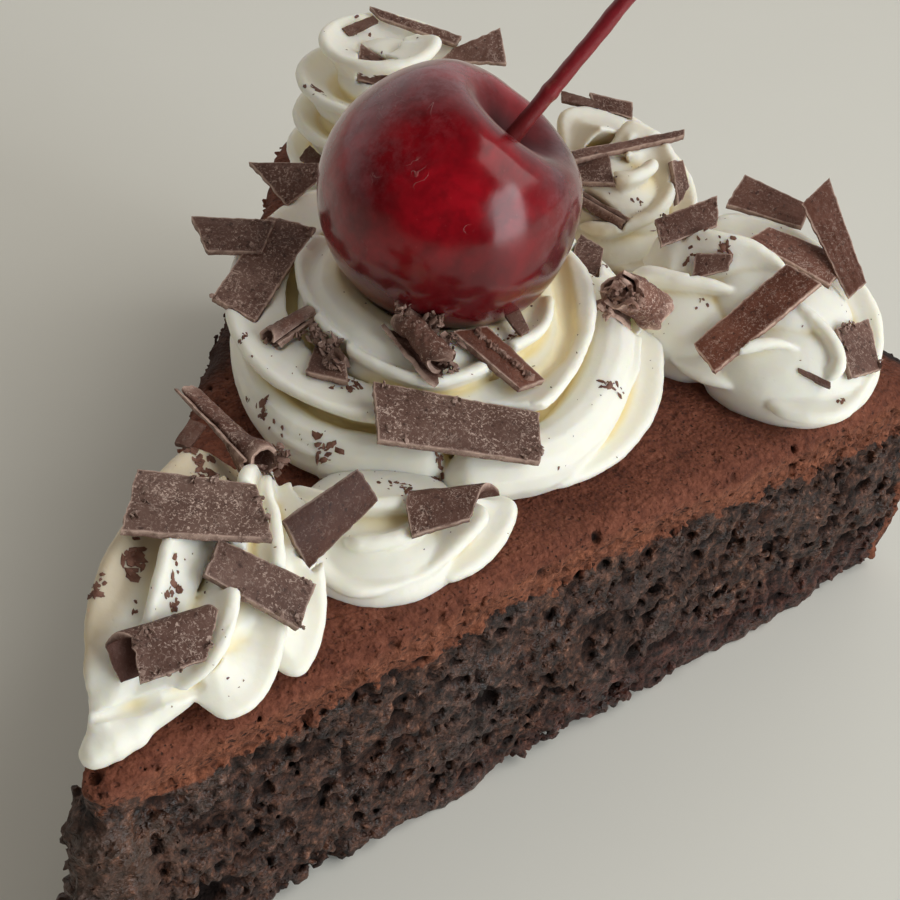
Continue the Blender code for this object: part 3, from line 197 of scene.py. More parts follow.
def cream_front(step):
    """Shell at the tip: ridges that fan out from the big end and run together in a tail like a folded ribbon."""
    aim = from_line(SPINE)
    core = [(3.8, 1.0, 32.3, .20), (8.5, 0.6, 34.3, .42), (13.0, 0.4, 37.6, .72), (18.0, 0.8, 39.2, .9), (23.0, 0.8, 39.4, 1), (31.0, 2.6, 39.4, 1), (37.0, 4.0, 38.9, .9)]
    parts = [sweep(core, lambda q: np.array([0, 0, 1.0]), round_section, 6.4, 10.4, 0, step, (2, 5))]
    parts += [blob((4.7, 1.3, 31.5), (1.7, 1.6, 1.7)), blob((6.2, 0.4, 31.8), (1.9, 1.7, 1.8)), blob((7.8, -0.5, 32.0), (1.6, 1.5, 1.5))]
    ridges = [
        # the broad left petal, which leans out over the cut
        ([(4.6, 3.4, 33.5, .5), (7.6, 5.4, 37.2, .8), (14.2, 7.6, 41.0, 1), (20.6, 8.7, 42.4, 1.05), (27.7, 9.6, 42.6, 1.05), (35.0, 9.0, 41.5, 1)], 3.4, 5.8, 0.9, (5, 5)),
        # the ridge beside it, which ends as the upper lip of the tail
        ([(29.0, 6.0, 44.8, .9), (20.6, 4.4, 44.2, .95), (14.8, 2.3, 42.2, .9), (11.8, 1.9, 39.4, .8), (9.2, 2.9, 37.4, .7), (7.0, 3.7, 36.0, .62), (5.3, 3.5, 34.8, .56), (4.3, 2.6, 33.4, .5), (3.9, 1.3, 32.0, .42)], 2.4, 4.4, 0.75, (5, 1.5)),
        # right of the deep valley, running down to the lower lip of the tail
        ([(33.0, 4.2, 44.5, .9), (27.0, 1.6, 44.0, 1), (20.8, -2.0, 42.4, 1), (16.4, -4.3, 40.4, .95), (13.4, -4.6, 38.2, .8), (11.2, -3.3, 36.0, .66), (9.4, -2.0, 34.2, .56), (7.9, -1.2, 32.9, .5)], 2.8, 4.6, 0.75, (5, 2.0)),
        # the lobe that turns in along the sponge
        ([(34.0, 2.6, 43.4, .9), (30.3, 1.0, 43.2, 1), (27.9, -1.4, 42.2, 1), (24.8, -3.9, 40.6, 1.05), (21.6, -6.5, 37.2, 1.05), (18.2, -7.6, 34.2, 1), (14.9, -7.4, 33.0, .9), (11.2, -4.8, 32.4, .75)], 2.7, 4.8, 0.75, (5, 3)),
        # the last lobe on the right
        ([(34.5, -0.6, 41.6, .8), (31.0, -3.8, 39.0, .95), (27.7, -6.9, 35.6, 1), (24.6, -8.4, 33.4, 1), (21.4, -8.7, 32.5, .9), (18.8, -7.6, 32.2, .7)], 2.6, 4.6, 0.8, (5, 3)),
        # the two ridges on the far side
        ([(4.4, 3.0, 31.8, .5), (9.0, 5.2, 34.0, .8), (16.0, 8.2, 36.2, 1), (24.0, 10.0, 37.2, 1), (32.0, 10.4, 37.2, 1), (37.0, 9.8, 36.5, .9)], 2.8, 4.8, 0.8, (3, 5)),
        ([(8.0, 3.6, 31.6, .6), (15.0, 6.9, 32.4, .9), (24.0, 9.2, 32.8, 1), (33.0, 9.8, 32.8, 1)], 2.4, 4.2, 0.8, (3, 5)),
    ]
    for path, half, depth, tip, ease in ridges:
        parts.append(sweep(path, aim, ridge_section, half, depth, tip, step, ease))
    return parts


def cream_side(step):
    """Small dollop between the shell and the big rosette: a shallow bowl of cream inside its own turned-up rims."""
    aim = from_point((41.5, -4.5, 30.5))
    parts = [blob((41.2, -5.2, 31.6), (9.4, 8.4, 4.4))]
    for path, half, depth, tip, ease in [
        # the lip that hangs over the cut side and rises to the right
        ([(34.6, 3.0, 35.4, .8), (32.4, -1.4, 34.4, .95), (31.5, -5.0, 33.4, 1), (31.7, -8.0, 33.1, 1), (34.2, -10.5, 33.1, 1), (37.6, -12.5, 33.4, 1), (41.6, -13.8, 34.7, 1), (45.0, -14.4, 35.9, 1), (47.8, -13.2, 36.5, .9)], 2.8, 5.0, 0.8, (4, 4)),
        # the lobe behind it
        ([(37.4, -12.0, 31.6, .7), (40.2, -14.5, 32.1, .95), (43.2, -15.7, 32.5, 1), (47.0, -15.8, 32.8, 1), (50.4, -14.8, 33.3, 1), (52.2, -12.2, 34.0, .9)], 2.6, 4.4, 0.9, (3, 4)),
        # the inner step and the top ring
        ([(34.2, -3.4, 35.6, .7), (34.9, -6.4, 35.9, .95), (37.0, -8.9, 36.1, 1), (39.8, -10.4, 36.3, 1), (43.2, -10.9, 36.5, .9)], 2.4, 4.2, 1.1, (3, 4)),
        ([(34.8, 4.2, 36.6, .8), (36.1, 1.6, 37.5, .95), (37.1, -1.9, 37.7, 1), (39.2, -5.9, 37.6, 1), (42.9, -9.7, 37.4, 1), (46.4, -11.6, 37.0, .85)], 2.0, 4.2, 0.8, (4, 4)),
    ]:
        parts.append(sweep(path, aim, ridge_section, half, depth, tip, step, ease))
    return parts


def cream_rose(step):
    """The big rosette under the cherry: one piping wound inwards and up, so its ridges climb in tiers."""
    c = ROSE
    parts = [
        blob((c[0] - 1.2, c[1] + 0.4, 31.0), (22.6, 21.6, 5.6)),
        blob((c[0] - 0.8, c[1] + 0.8, 34.5), (20.6, 19.2, 5.0)),
        blob((c[0], c[1], 37.0), (16.0, 15.6, 5.0)),
    ]
    # the smooth last turn, in which the cherry sits
    ring = polar((69.0, 4.0), [(60, 9.6, 41.0, .8), (95, 10.2, 40.6, .95), (135, 11.2, 41.2, 1.1), (175, 12.0, 41.2, 1.22), (205, 12.2, 41.2, 1.22), (228, 11.0, 41.2, 1.05), (250, 10.2, 41.0, .9), (285, 10.0, 41.2, .9), (330, 10.0, 41.2, .85), (370, 9.8, 41.2, .85)])
    parts.append(sweep([(x, y, z + 1.6, s) for x, y, z, s in ring], lambda q: np.array([0, 0, 1.0]), round_section, 3.7, 8.4, 0, step, (4, 4)))
    # the smooth bands between one lip and the next
    for keys, half, depth in [
        ([(205, 21.6, 36.6, .7), (218, 22.0, 37.4, .9), (233, 21.8, 38.1, 1), (246, 20.7, 38.8, 1), (262, 18.9, 39.4, 1), (280, 17.4, 40.0, 1), (302, 16.3, 40.5, 1), (335, 15.3, 40.9, 1), (370, 15.3, 40.7, 1), (410, 15.6, 40.2, .9)], 3.2, 7.0),
        ([(120, 21.4, 36.6, .8), (145, 22.6, 37.0, 1), (165, 23.4, 37.1, 1), (180, 23.2, 37.2, 1), (195, 22.0, 37.3, 1), (212, 20.6, 37.5, .8)], 2.5, 6.0),
    ]:
        parts.append(sweep(polar(c, keys), lambda q: np.array([0, 0, 1.0]), round_section, half, depth, 0, step, (4, 4)))
    for keys, half, depth, tip, lift, ease in [
        # lowest ridge, the white outer edge on the right
        ([(214, 20.5, 32.0, .7), (226, 23.6, 32.8, .9), (243, 24.9, 33.4, 1), (264, 24.3, 33.6, 1), (286, 23.4, 33.8, 1), (310, 22.8, 34.2, 1), (345, 22.0, 34.4, 1), (380, 21.8, 34.6, 1), (420, 21.6, 34.4, .9)], 3.2, 5.4, 0.9, 12, (4, 5)),
        # second ridge: under the tiers at the left, then the edge of the wide band
        ([(186, 17.5, 32.6, .7), (198, 20.8, 33.0, .95), (210, 22.8, 33.6, 1), (225, 24.1, 34.8, 1), (243, 23.6, 36.4, 1), (262, 22.0, 37.2, 1), (282, 20.8, 37.6, 1), (306, 19.8, 38.2, 1), (340, 18.6, 38.6, 1), (380, 18.2, 38.8, 1), (420, 18.4, 38.6, 1), (455, 19.5, 37.8, .9)], 3.3, 5.2, 0.8, 30, (5, 5)),
        # third: the full petal at the left, which runs out under the front
        ([(60, 20.5, 34.4, .9), (90, 20.8, 34.6, 1), (120, 22.3, 35.0, 1), (149, 24.2, 35.2, 1), (162, 25.6, 35.2, 1), (174, 26.0, 35.2, 1), (186, 24.9, 35.3, 1), (198, 21.8, 35.8, .9), (212, 18.5, 36.4, .8)], 3.3, 5.4, 0.9, 18, (5, 7)),
        # lowest at the far left
        ([(75, 22.5, 32.0, .9), (110, 22.8, 32.0, 1), (150, 22.6, 32.0, .9)], 2.8, 4.8, 0.9, 8, (4, 4)),
        # the long middle ridge, from the back round the left and front and up on the right
        ([(30, 19.0, 39.6, .9), (60, 20.4, 40.2, 1), (84, 21.0, 40.4, 1), (110, 21.9, 40.0, 1), (137, 23.1, 39.5, 1), (158, 23.5, 39.2, 1), (177, 22.9, 39.1, 1), (192, 21.9, 39.2, 1), (213, 21.2, 39.6, 1), (233, 20.5, 40.0, 1), (246, 18.9, 40.5, 1), (262, 17.0, 41.2, 1), (280, 15.4, 42.2, 1), (302, 14.0, 42.8, .95), (335, 12.6, 43.2, .85)], 3.1, 5.0, 0.75, 30, (5, 5)),
        # the inner ridge round the cherry
        ([(84, 14.5, 41.6, .8), (109, 15.6, 41.8, .95), (135, 15.6, 41.8, 1), (165, 16.4, 41.6, 1), (188, 17.4, 41.6, 1), (204, 17.8, 41.8, 1), (219, 16.2, 42.3, 1), (234, 14.2, 42.8, 1), (248, 13.6, 43.0, .95), (258, 12.9, 43.2, .9), (270, 11.6, 43.4, .8), (284, 10.8, 43.4, .7)], 2.3, 4.2, 0.7, 45, (5, 3)),
    ]:
        parts.append(sweep(polar(c, keys), from_axis(c, lift), ridge_section, half, depth, tip, step, ease))
    return parts


def cream_right(step):
    """Rosette at the right corner: two ridges lead in from the middle and the outer one curls round."""
    c = RIGHT
    parts = [
        blob((c[0], c[1] - 1.0, 32.5), (9.8, 10.4, 6.4)),
        blob((c[0] - 1.0, c[1] + 9.0, 33.0), (8.0, 8.0, 6.0)),
        blob((c[0] + 1.5, c[1] + 2.0, 36.5), (6.5, 9.5, 4.6)),
    ]
    aim = from_line([(88.5, -13.0, 34.0), (89.5, -20.0, 34.5), (90.0, -28.0, 33.5)])
    for path, half, depth, tip, ease in [
        ([(86.0, -11.5, 33.5, .8), (82.8, -15.0, 33.2, .95), (80.6, -19.0, 33.0, 1), (80.0, -23.0, 33.0, 1), (80.8, -27.0, 33.0, .95), (82.5, -30.5, 33.4, .8)], 3.0, 5.0, 0.9, (4, 4)),
        ([(81.5, -26.5, 32.8, .8), (79.9, -30.5, 32.8, .95), (80.3, -34.0, 32.9, 1), (82.6, -36.6, 33.0, 1), (86.2, -37.6, 33.6, 1), (90.4, -37.6, 34.8, 1), (94.4, -36.2, 36.4, 1), (97.4, -33.2, 38.2, 1), (99.0, -28.5, 40.0, 1), (99.2, -23.0, 41.2, 1), (98.0, -17.0, 41.4, .95), (95.0, -12.5, 40.4, .9)], 3.2, 5.4, 0.85, (4, 5)),
        ([(90.5, -9.0, 39.6, .8), (91.6, -12.5, 41.6, .95), (91.4, -17.5, 42.8, 1), (92.2, -21.0, 42.8, 1), (92.0, -25.0, 41.6, .95), (89.8, -28.2, 40.0, .85)], 2.9, 4.8, 0.8, (4, 4)),
        ([(84.5, -9.0, 38.0, .8), (85.2, -12.5, 39.6, .95), (85.6, -16.0, 40.1, 1), (86.8, -19.6, 40.1, 1), (87.6, -23.0, 39.4, .95), (86.0, -26.0, 38.2, .8)], 2.8, 4.6, 0.8, (4, 4)),
        # the curl at the front and the ring round it
        ([(79.6, -22.6, 36.6, .8), (81.4, -25.6, 37.8, .95), (83.4, -28.2, 38.2, 1), (84.6, -30.6, 37.4, .9), (84.0, -32.4, 36.2, .75)], 2.2, 3.8, 0.7, (3, 2.5)),
        ([(89.0, -25.5, 40.6, .8), (88.2, -29.0, 40.2, .95), (87.4, -32.4, 39.0, 1), (85.6, -34.8, 37.4, .95), (82.6, -35.2, 35.8, .8)], 2.5, 4.4, 0.75, (3, 3)),
        # the side towards the rim
        ([(100.5, -34.0, 33.0, .9), (103.2, -29.0, 34.0, 1), (103.8, -22.0, 35.0, 1), (101.5, -15.0, 35.0, 1), (96.5, -10.0, 34.6, .9)], 3.0, 5.0, 0.85, (4, 5)),
    ]:
        parts.append(sweep(path, aim, ridge_section, half, depth, tip, step, ease))
    return parts


def cream_middle(step):
    """Rosette in the middle of the rim, a coil with its end lying on top."""
    c = MIDDLE
    parts = [blob((c[0], c[1], 32.0), (8.6, 9.4, 7.6)), blob((c[0], c[1] - 0.5, 37.0), (6.2, 7.4, 5.0))]
    for keys, half, depth, tip, lift, ease in [
        ([(200, 9.8, 33.5, .8), (235, 10.4, 34.0, 1), (275, 10.6, 35.2, 1), (315, 10.8, 37.6, 1), (350, 10.2, 40.2, 1), (380, 9.8, 42.2, 1), (415, 9.2, 42.8, .95), (450, 8.4, 42.0, .9)], 3.0, 5.0, 0.85, 22, (4, 5)),
        ([(170, 8.0, 37.6, .8), (210, 8.4, 38.6, .95), (250, 8.2, 39.8, 1), (290, 7.8, 41.4, 1), (325, 7.0, 43.0, 1), (360, 5.6, 44.0, .95), (400, 4.2, 44.0, .8)], 2.8, 4.8, 0.8, 38, (4, 4)),
        ([(180, 3.8, 42.6, .8), (230, 5.0, 43.0, .95), (275, 5.2, 43.2, .9), (310, 4.4, 43.2, .8)], 2.4, 4.2, 0.8, 55, (3, 3)),
        ([(330, 10.6, 33.5, .9), (370, 10.8, 36.0, 1), (410, 10.4, 37.6, 1), (450, 9.8, 38.0, 1), (490, 9.4, 36.0, .9)], 3.0, 5.0, 0.85, 12, (4, 4)),
        ([(350, 10.2, 31.5, .9), (400, 10.4, 32.5, 1), (450, 9.8, 33.0, 1), (500, 9.2, 33.0, .9)], 2.8, 4.6, 0.85, 8, (4, 4)),
    ]:
        parts.append(sweep(polar(c, keys), from_axis(c, lift), ridge_section, half, depth, tip, step, ease))
    return parts


def cream_left(step):
    """Rosette at the left corner: one sharp ridge that winds up round it, so its lip stands out like teeth."""
    c = LEFT
    parts = [blob((c[0], c[1], 32.5), (8.4, 8.4, 6.4)), blob((c[0], c[1], 38.5), (7.6, 7.6, 6.0)), blob((c[0], c[1], 43.0), (5.8, 5.8, 4.4))]
    keys = []
    for i in range(0, 50):
        turns = i / 12 - 0.55
        r = 10.6 - 0.10 * max(turns, 0) - 2.6 * max(turns - 1.9, 0) ** 1.25 + 0.45 * math.sin(5.1 * turns)
        z = 33.6 + 4.65 * turns - 0.25 * max(turns - 2.3, 0) ** 2
        keys.append((121 + 360 * turns, max(r, 2.6), z, 0.9 if turns < 2.6 else 0.8))
    parts.append(sweep(polar(c, keys), from_axis(c, 38), ridge_section, 2.1, 4.6, 0.45, step, (3, 3)))
    parts.append(sweep(polar(c, [(40, 10.2, 31.0, .8), (90, 10.6, 31.2, 1), (150, 10.6, 31.2, 1), (210, 10.4, 31.2, 1), (260, 10.2, 31.2, .8)]), from_axis(c, 20), ridge_section, 2.2, 4.4, 0.5, step, (3, 3)))
    return parts


PIPINGS = {
    "cream_shell_front": cream_front,
    "cream_dollop_side": cream_side,
    "cream_rosette_centre": cream_rose,
    "cream_rosette_right": cream_right,
    "cream_rosette_middle": cream_middle,
    "cream_rosette_left": cream_left,
}


# ---- the cherry
CHERRY_AT = (69.1, 4.3, 51.3)
CHERRY_R = 13.0
CHERRY_AXIS = (0.400, -0.412, 0.818)     # from the blossom end to the stem
STEM_R = 0.80
STEM_LENGTH = 42.0
STEM_OFF = (0.015, -0.796, -0.358)            # how far from the middle of the cavity the stem stands


def basis(axis, towards=(-0.70, -0.30, 0.65)):
    """Right-handed axes with Z along axis and X as near as can be to a direction."""
    z = np.array(axis, float)
    z /= np.linalg.norm(z)
    x = np.array(towards, float)
    x -= (x @ z) * z
    x /= np.linalg.norm(x)
    return np.stack([x, np.cross(z, x), z], 1)


def cherry_radius(lat, lon):
    """Distance of the skin from the centre: broad shoulders round a deep stem cavity, a shallow seam down one side, a small blossom scar."""
    s = np.sin(lat)
    r = 1.0 + 0.035 * np.cos(lat) ** 2 - 0.030 * np.cos(lat) ** 2 * s
    r = r + 0.050 * np.exp(-((lat - math.radians(52)) / 0.34) ** 2)
    r = r - 0.46 * np.exp(-((math.pi / 2 - lat) / 0.45) ** 2)
    r = r - 0.025 * np.cos(lon) * np.exp(-((lat - math.radians(56)) / 0.30) ** 2)
    r = r - 0.050 * np.exp(-((math.pi / 2 + lat) / 0.16) ** 2)
    seam = np.exp(-((np.angle(np.exp(1j * (lon - math.radians(200))))) / 0.22) ** 2)
    r = r - 0.018 * seam * np.cos(lat)
    r = r + 0.022 * np.cos(2 * (lon - 0.6)) * np.cos(lat) ** 2
    return r


def cherry_mesh(rows, cols, grow=0.0):
    """Closed skin of the cherry, grown outwards by some millimetres for a cutter."""
    m = basis(CHERRY_AXIS)
    verts, faces = [], []
    lats = [-math.pi / 2 + math.pi * i / rows for i in range(1, rows)]
    for lat in [-math.pi / 2] + lats + [math.pi / 2]:
        n = 1 if abs(abs(lat) - math.pi / 2) < 1e-9 else cols
        for j in range(n):
            lon = 2 * math.pi * j / cols
            r = CHERRY_R * float(cherry_radius(lat, lon)) + grow
            verts.append(m @ np.array([r * math.cos(lat) * math.cos(lon), r * math.cos(lat) * math.sin(lon), r * math.sin(lat)]) + CHERRY_AT)
    last = len(verts) - 1
    for j in range(cols):
        faces.append((0, 1 + (j + 1) % cols, 1 + j))
        faces.append((last - cols + j, last - cols + (j + 1) % cols, last))
    for i in range(rows - 2):
        for j in range(cols):
            a, b = 1 + i * cols + j, 1 + i * cols + (j + 1) % cols
            faces.append((a, b, b + cols, a + cols))
    return np.array(verts), faces


def stem_line(step):
    """Middle line of the stem, from the bottom of the cavity out to its cut end, with a slight bend."""
    z = np.array(CHERRY_AXIS) / np.linalg.norm(CHERRY_AXIS)
    start = np.array(CHERRY_AT) + z * (CHERRY_R * float(cherry_radius(math.pi / 2, 0)) + 0.35) + np.array(STEM_OFF)
    lean = np.array([0.405, -0.390, 0.827])
    bend = np.array([0.82, 0.45, -0.35])
    n = int(STEM_LENGTH / step)
    rows = []
    for i in range(n + 1):
        t = i / n
        rows.append(start + lean * STEM_LENGTH * t + bend * 2.6 * max(0.0, t - 0.25) ** 2)
    return np.array(rows)


def stem_radius(t):
    """Thicker where it joins the cherry and at the end that left the tree."""
    return STEM_R * (1 + 0.30 * math.exp(-t * 22) + 0.12 * t + 0.90 * math.exp(-((1 - t) / 0.035) ** 2))


def tube(line, radius, sides):
    """Closed tube along a line with a radius for each fraction of its length."""
    tangent = np.gradient(line, axis=0)
    tangent /= np.linalg.norm(tangent, axis=1)[:, None]
    x = np.cross(tangent[0], [0.3, 0.9, 0.1])
    verts, faces = [], []
    for i, (p, t) in enumerate(zip(line, tangent)):
        x = x - (x @ t) * t
        x /= np.linalg.norm(x)
        y = np.cross(t, x)
        r = radius(i / (len(line) - 1))
        verts += [p + r * (x * math.cos(2 * math.pi * j / sides) + y * math.sin(2 * math.pi * j / sides)) for j in range(sides)]
    verts += [line[0], line[-1]]
    last = (len(line) - 1) * sides
    for i in range(len(line) - 1):
        for j in range(sides):
            a, b = i * sides + j, i * sides + (j + 1) % sides
            faces.append((a, b, b + sides, a + sides))
    for j in range(sides):
        faces.append(((j + 1) % sides, j, len(verts) - 2))
        faces.append((last + j, last + (j + 1) % sides, len(verts) - 1))
    return np.array(verts), faces


# ---- the chocolate: thin slabs of a scraped bar. at: centre. turn: tilt in degrees about X, Y, Z.
# ends: where the long sides start and end, upper side first, then lower side. half: half width at the two ends.
# bend: how far the slab curves across, in degrees.
FLAKES = {
    "choc_slab_tip_long": dict(at=(23.1, 3.7, 44.2), turn=(4, 7, -55), ends=(-5.2, 5.3, 6.4, -6.5), half=(3.7, 3.2), bend=8),
    "choc_slab_tip_right": dict(at=(21.5, -3.8, 40.5), turn=(14, 27, -67), ends=(-4.6, 4.8, 4.7, -4.8), half=(1.9, 2.4), bend=10),
    "choc_fold_tip_left": dict(at=(12.1, -2.1, 39.9), turn=(34, -6, -38), ends=(-3.4, 6.0, 1.7, -4.2), half=(2.1, 1.8), bend=6),
    "choc_slab_front_tilted": dict(at=(33.0, -4.3, 39.9), turn=(58, -16, -17), ends=(-4.3, 4.4, 4.5, -4.7), half=(2.6, 1.8), bend=40),
    "choc_fold_front_right": dict(at=(41.1, -11.7, 37.7), turn=(24, -6, -53), ends=(-3.4, 4.5, 2.2, -3.3), half=(1.9, 0.9), bend=6),
    "choc_slab_rose_large": dict(at=(51.1, -7.6, 39.5), turn=(10, 8, -60), ends=(-8.5, 8.0, 8.1, -7.7), half=(3.6, 3.1), bend=6),
    "choc_slab_cherry_front": dict(at=(59.3, -7.6, 42.4), turn=(-2, 19, -97), ends=(-3.3, 4.6, 3.6, -4.9), half=(1.9, 1.6), bend=10),
    "choc_slab_left_upper": dict(at=(60.5, 20.3, 40.8), turn=(-5, 11, -174), ends=(-7.3, 7.2, 6.4, -6.3), half=(2.5, 2.6), bend=8),
    "choc_slab_left_lower": dict(at=(61.8, 24.7, 42.0), turn=(14, -2, -60), ends=(-4.5, 4.1, 2.9, -2.6), half=(2.3, 2.2), bend=8),
    "choc_sliver_back_left": dict(at=(74.1, 25.1, 42.5), turn=(28, -11, -47), ends=(-4.2, 3.0, 2.6, -1.4), half=(3.0, 0.8), bend=30),
    "choc_chip_rose_right": dict(at=(83.7, -5.9, 39.2), turn=(7, 0, -109), ends=(-3.4, -0.1, 4.0, -0.5), half=(2.4, 2.6), bend=10),
    "choc_chip_middle_far": dict(at=(107.9, 2.9, 43.2), turn=(38, 4, -72), ends=(-2.9, 2.1, 2.5, -1.8), half=(0.8, 0.9), bend=20),
    "choc_sliver_middle_long": dict(at=(100.8, -1.9, 43.2), turn=(6, -3, -38), ends=(-7.4, 7.9, 7.4, -7.8), half=(0.8, 0.5), bend=10),
    "choc_chip_middle_near": dict(at=(96.1, -0.3, 41.8), turn=(12, -16, -71), ends=(-3.3, 1.7, 2.7, -1.1), half=(1.9, 2.4), bend=10),
    "choc_chip_middle_right": dict(at=(101.5, -8.6, 41.2), turn=(-26, 36, -137), ends=(-2.2, 0.9, 3.3, -2.0), half=(0.9, 1.2), bend=10),
    "choc_slab_right_inner": dict(at=(92.0, -13.5, 42.6), turn=(27, -15, -40), ends=(-3.1, 4.3, 2.8, -3.9), half=(1.5, 1.6), bend=24),
    "choc_slab_right_far": dict(at=(100.9, -19.7, 42.6), turn=(16, 5, -84), ends=(-4.0, 4.2, 4.1, -4.3), half=(2.5, 1.6), bend=8),
    "choc_slab_right_upright": dict(at=(97.2, -28.5, 43.5), turn=(20, 33, -123), ends=(-6.8, 5.4, 6.3, -5.0), half=(1.9, 1.2), bend=8),
    "choc_slab_right_across": dict(at=(95.2, -25.4, 41.7), turn=(12, 9, -86), ends=(-4.2, 5.1, 4.5, -5.4), half=(1.4, 2.4), bend=12),
    "choc_slab_right_long": dict(at=(84.9, -24.8, 39.3), turn=(-5, 28, 154), ends=(-7.4, 7.4, 6.7, -6.7), half=(2.2, 2.0), bend=8),
    "choc_chip_right_edge": dict(at=(89.3, -35.4, 37.0), turn=(-22, 30, -136), ends=(-3.6, 2.3, 3.4, -2.1), half=(2.7, 2.4), bend=10),
    "choc_chip_right_small": dict(at=(88.9, -18.1, 40.8), turn=(37, -18, -67), ends=(-1.6, 2.3, 1.6, -2.3), half=(1.4, 0.8), bend=20),
    "choc_sliver_left_top": dict(at=(103.5, 26.7, 47.0), turn=(24, 6, -79), ends=(-6.0, 5.3, 5.0, -4.3), half=(0.5, 0.7), bend=10),
    "choc_slab_left_top": dict(at=(103.7, 19.1, 46.5), turn=(0, 35, -156), ends=(-3.2, 1.1, 1.9, 0.2), half=(2.6, 3.8), bend=8),
    "choc_chip_left_top": dict(at=(93.6, 26.4, 46.0), turn=(28, 11, -87), ends=(-3.3, 3.0, 1.4, -1.1), half=(2.1, 1.3), bend=20),
    "choc_chip_rose_left": dict(at=(51.9, 7.3, 39.8), turn=(0, -4, -85), ends=(-2.4, 0.7, 3.0, -1.4), half=(2.3, 2.0), bend=30),
}
# the rolled curls: axis from one end to the other, outer radius, turns of the sheet, angle where the sheet starts
CURLS = {
    "choc_curl_left_long": dict(a=(36.6, 13.4, 43.6), b=(33.0, 3.4, 42.6), radius=(1.8, 2.3), turns=1.25, start=60, shrink=0.48),
    "choc_curl_rose_right": dict(a=(74.8, -13.3, 43.6), b=(79.0, -15.6, 39.6), radius=(2.5, 2.9), turns=2.1, start=200, shrink=0.75),
    "choc_curl_cherry_front": dict(a=(56.6, 2.0, 44.6), b=(53.8, -4.0, 43.4), radius=(2.1, 1.9), turns=1.1, start=120, shrink=0.5),
    "choc_curl_left_small": dict(a=(51.9, 13.8, 40.2), b=(56.3, 12.3, 41.0), radius=(1.6, 1.3), turns=1.0, start=90, shrink=0.4),
    "choc_curl_middle_small": dict(a=(93.6, -0.2, 39.7), b=(92.8, -6.3, 39.1), radius=(0.9, 0.9), turns=0.85, start=40, shrink=0.2),
}
CHOC_T = 0.75                           # thickness of the slabs
CURL_T = 0.42                           # thickness of the rolled sheets


def rotation(turn):
    cx, cy, cz = (math.cos(math.radians(v)) for v in turn)
    sx, sy, sz = (math.sin(math.radians(v)) for v in turn)
    rx = np.array([[1, 0, 0], [0, cx, -sx], [0, sx, cx]])
    ry = np.array([[cy, 0, sy], [0, 1, 0], [-sy, 0, cy]])
    rz = np.array([[cz, -sz, 0], [sz, cz, 0], [0, 0, 1]])
    return rz @ ry @ rx


def slab_grid(ends, half, bend, nu, nv):
    """Mid-surface of a slab as rows of points, with the surface direction at each: u along, v across."""
    x0, x1, x2, x3 = ends
    grid, normal = [], []
    for i in range(nu + 1):
        u = i / nu
        h = half[0] * (1 - u) + half[1] * u
        for j in range(nv + 1):
            v = 1 - 2 * j / nv
            top, low = x0 + (x1 - x0) * u, x3 + (x2 - x3) * u
            x = (top * (1 + v) + low * (1 - v)) / 2
            y = h * v
            a = math.radians(bend) * v / 2
            if bend:
                r = h / math.radians(bend / 2)
                y, z = r * math.sin(a), r * (math.cos(a) - 1)
            else:
                z = 0.0
            grid.append((x, y, z))
            normal.append((0, math.sin(a), math.cos(a)))
    return np.array(grid), np.array(normal)


def slab_mesh(flake, nu, nv, thick, grow=0.0):
    """Closed slab: its mid-surface thickened both ways."""
    x0, x1, x2, x3 = flake["ends"]
    grid, normal = slab_grid((x0 - grow, x1 + grow, x2 + grow, x3 - grow), tuple(h + grow for h in flake["half"]), flake["bend"], nu, nv)
    m = rotation(flake["turn"])
    t = thick / 2 + grow
    verts = np.vstack([grid + normal * t, grid - normal * t]) @ m.T + np.array(flake["at"])
    n = len(grid)
    cols = nv + 1
    faces = []
    for i in range(nu):
        for j in range(nv):
            a = i * cols + j
            faces.append((a, a + 1, a + cols + 1, a + cols))
            faces.append((n + a, n + a + cols, n + a + cols + 1, n + a + 1))
    loop = [j for j in range(nv)] + [i * cols + nv for i in range(nu)] + [nu * cols + nv - j for j in range(nv)] + [(nu - i) * cols for i in range(nu)]
    for k, a in enumerate(loop):
        b = loop[(k + 1) % len(loop)]
        faces.append((b, a, n + a, n + b))
    return verts, faces


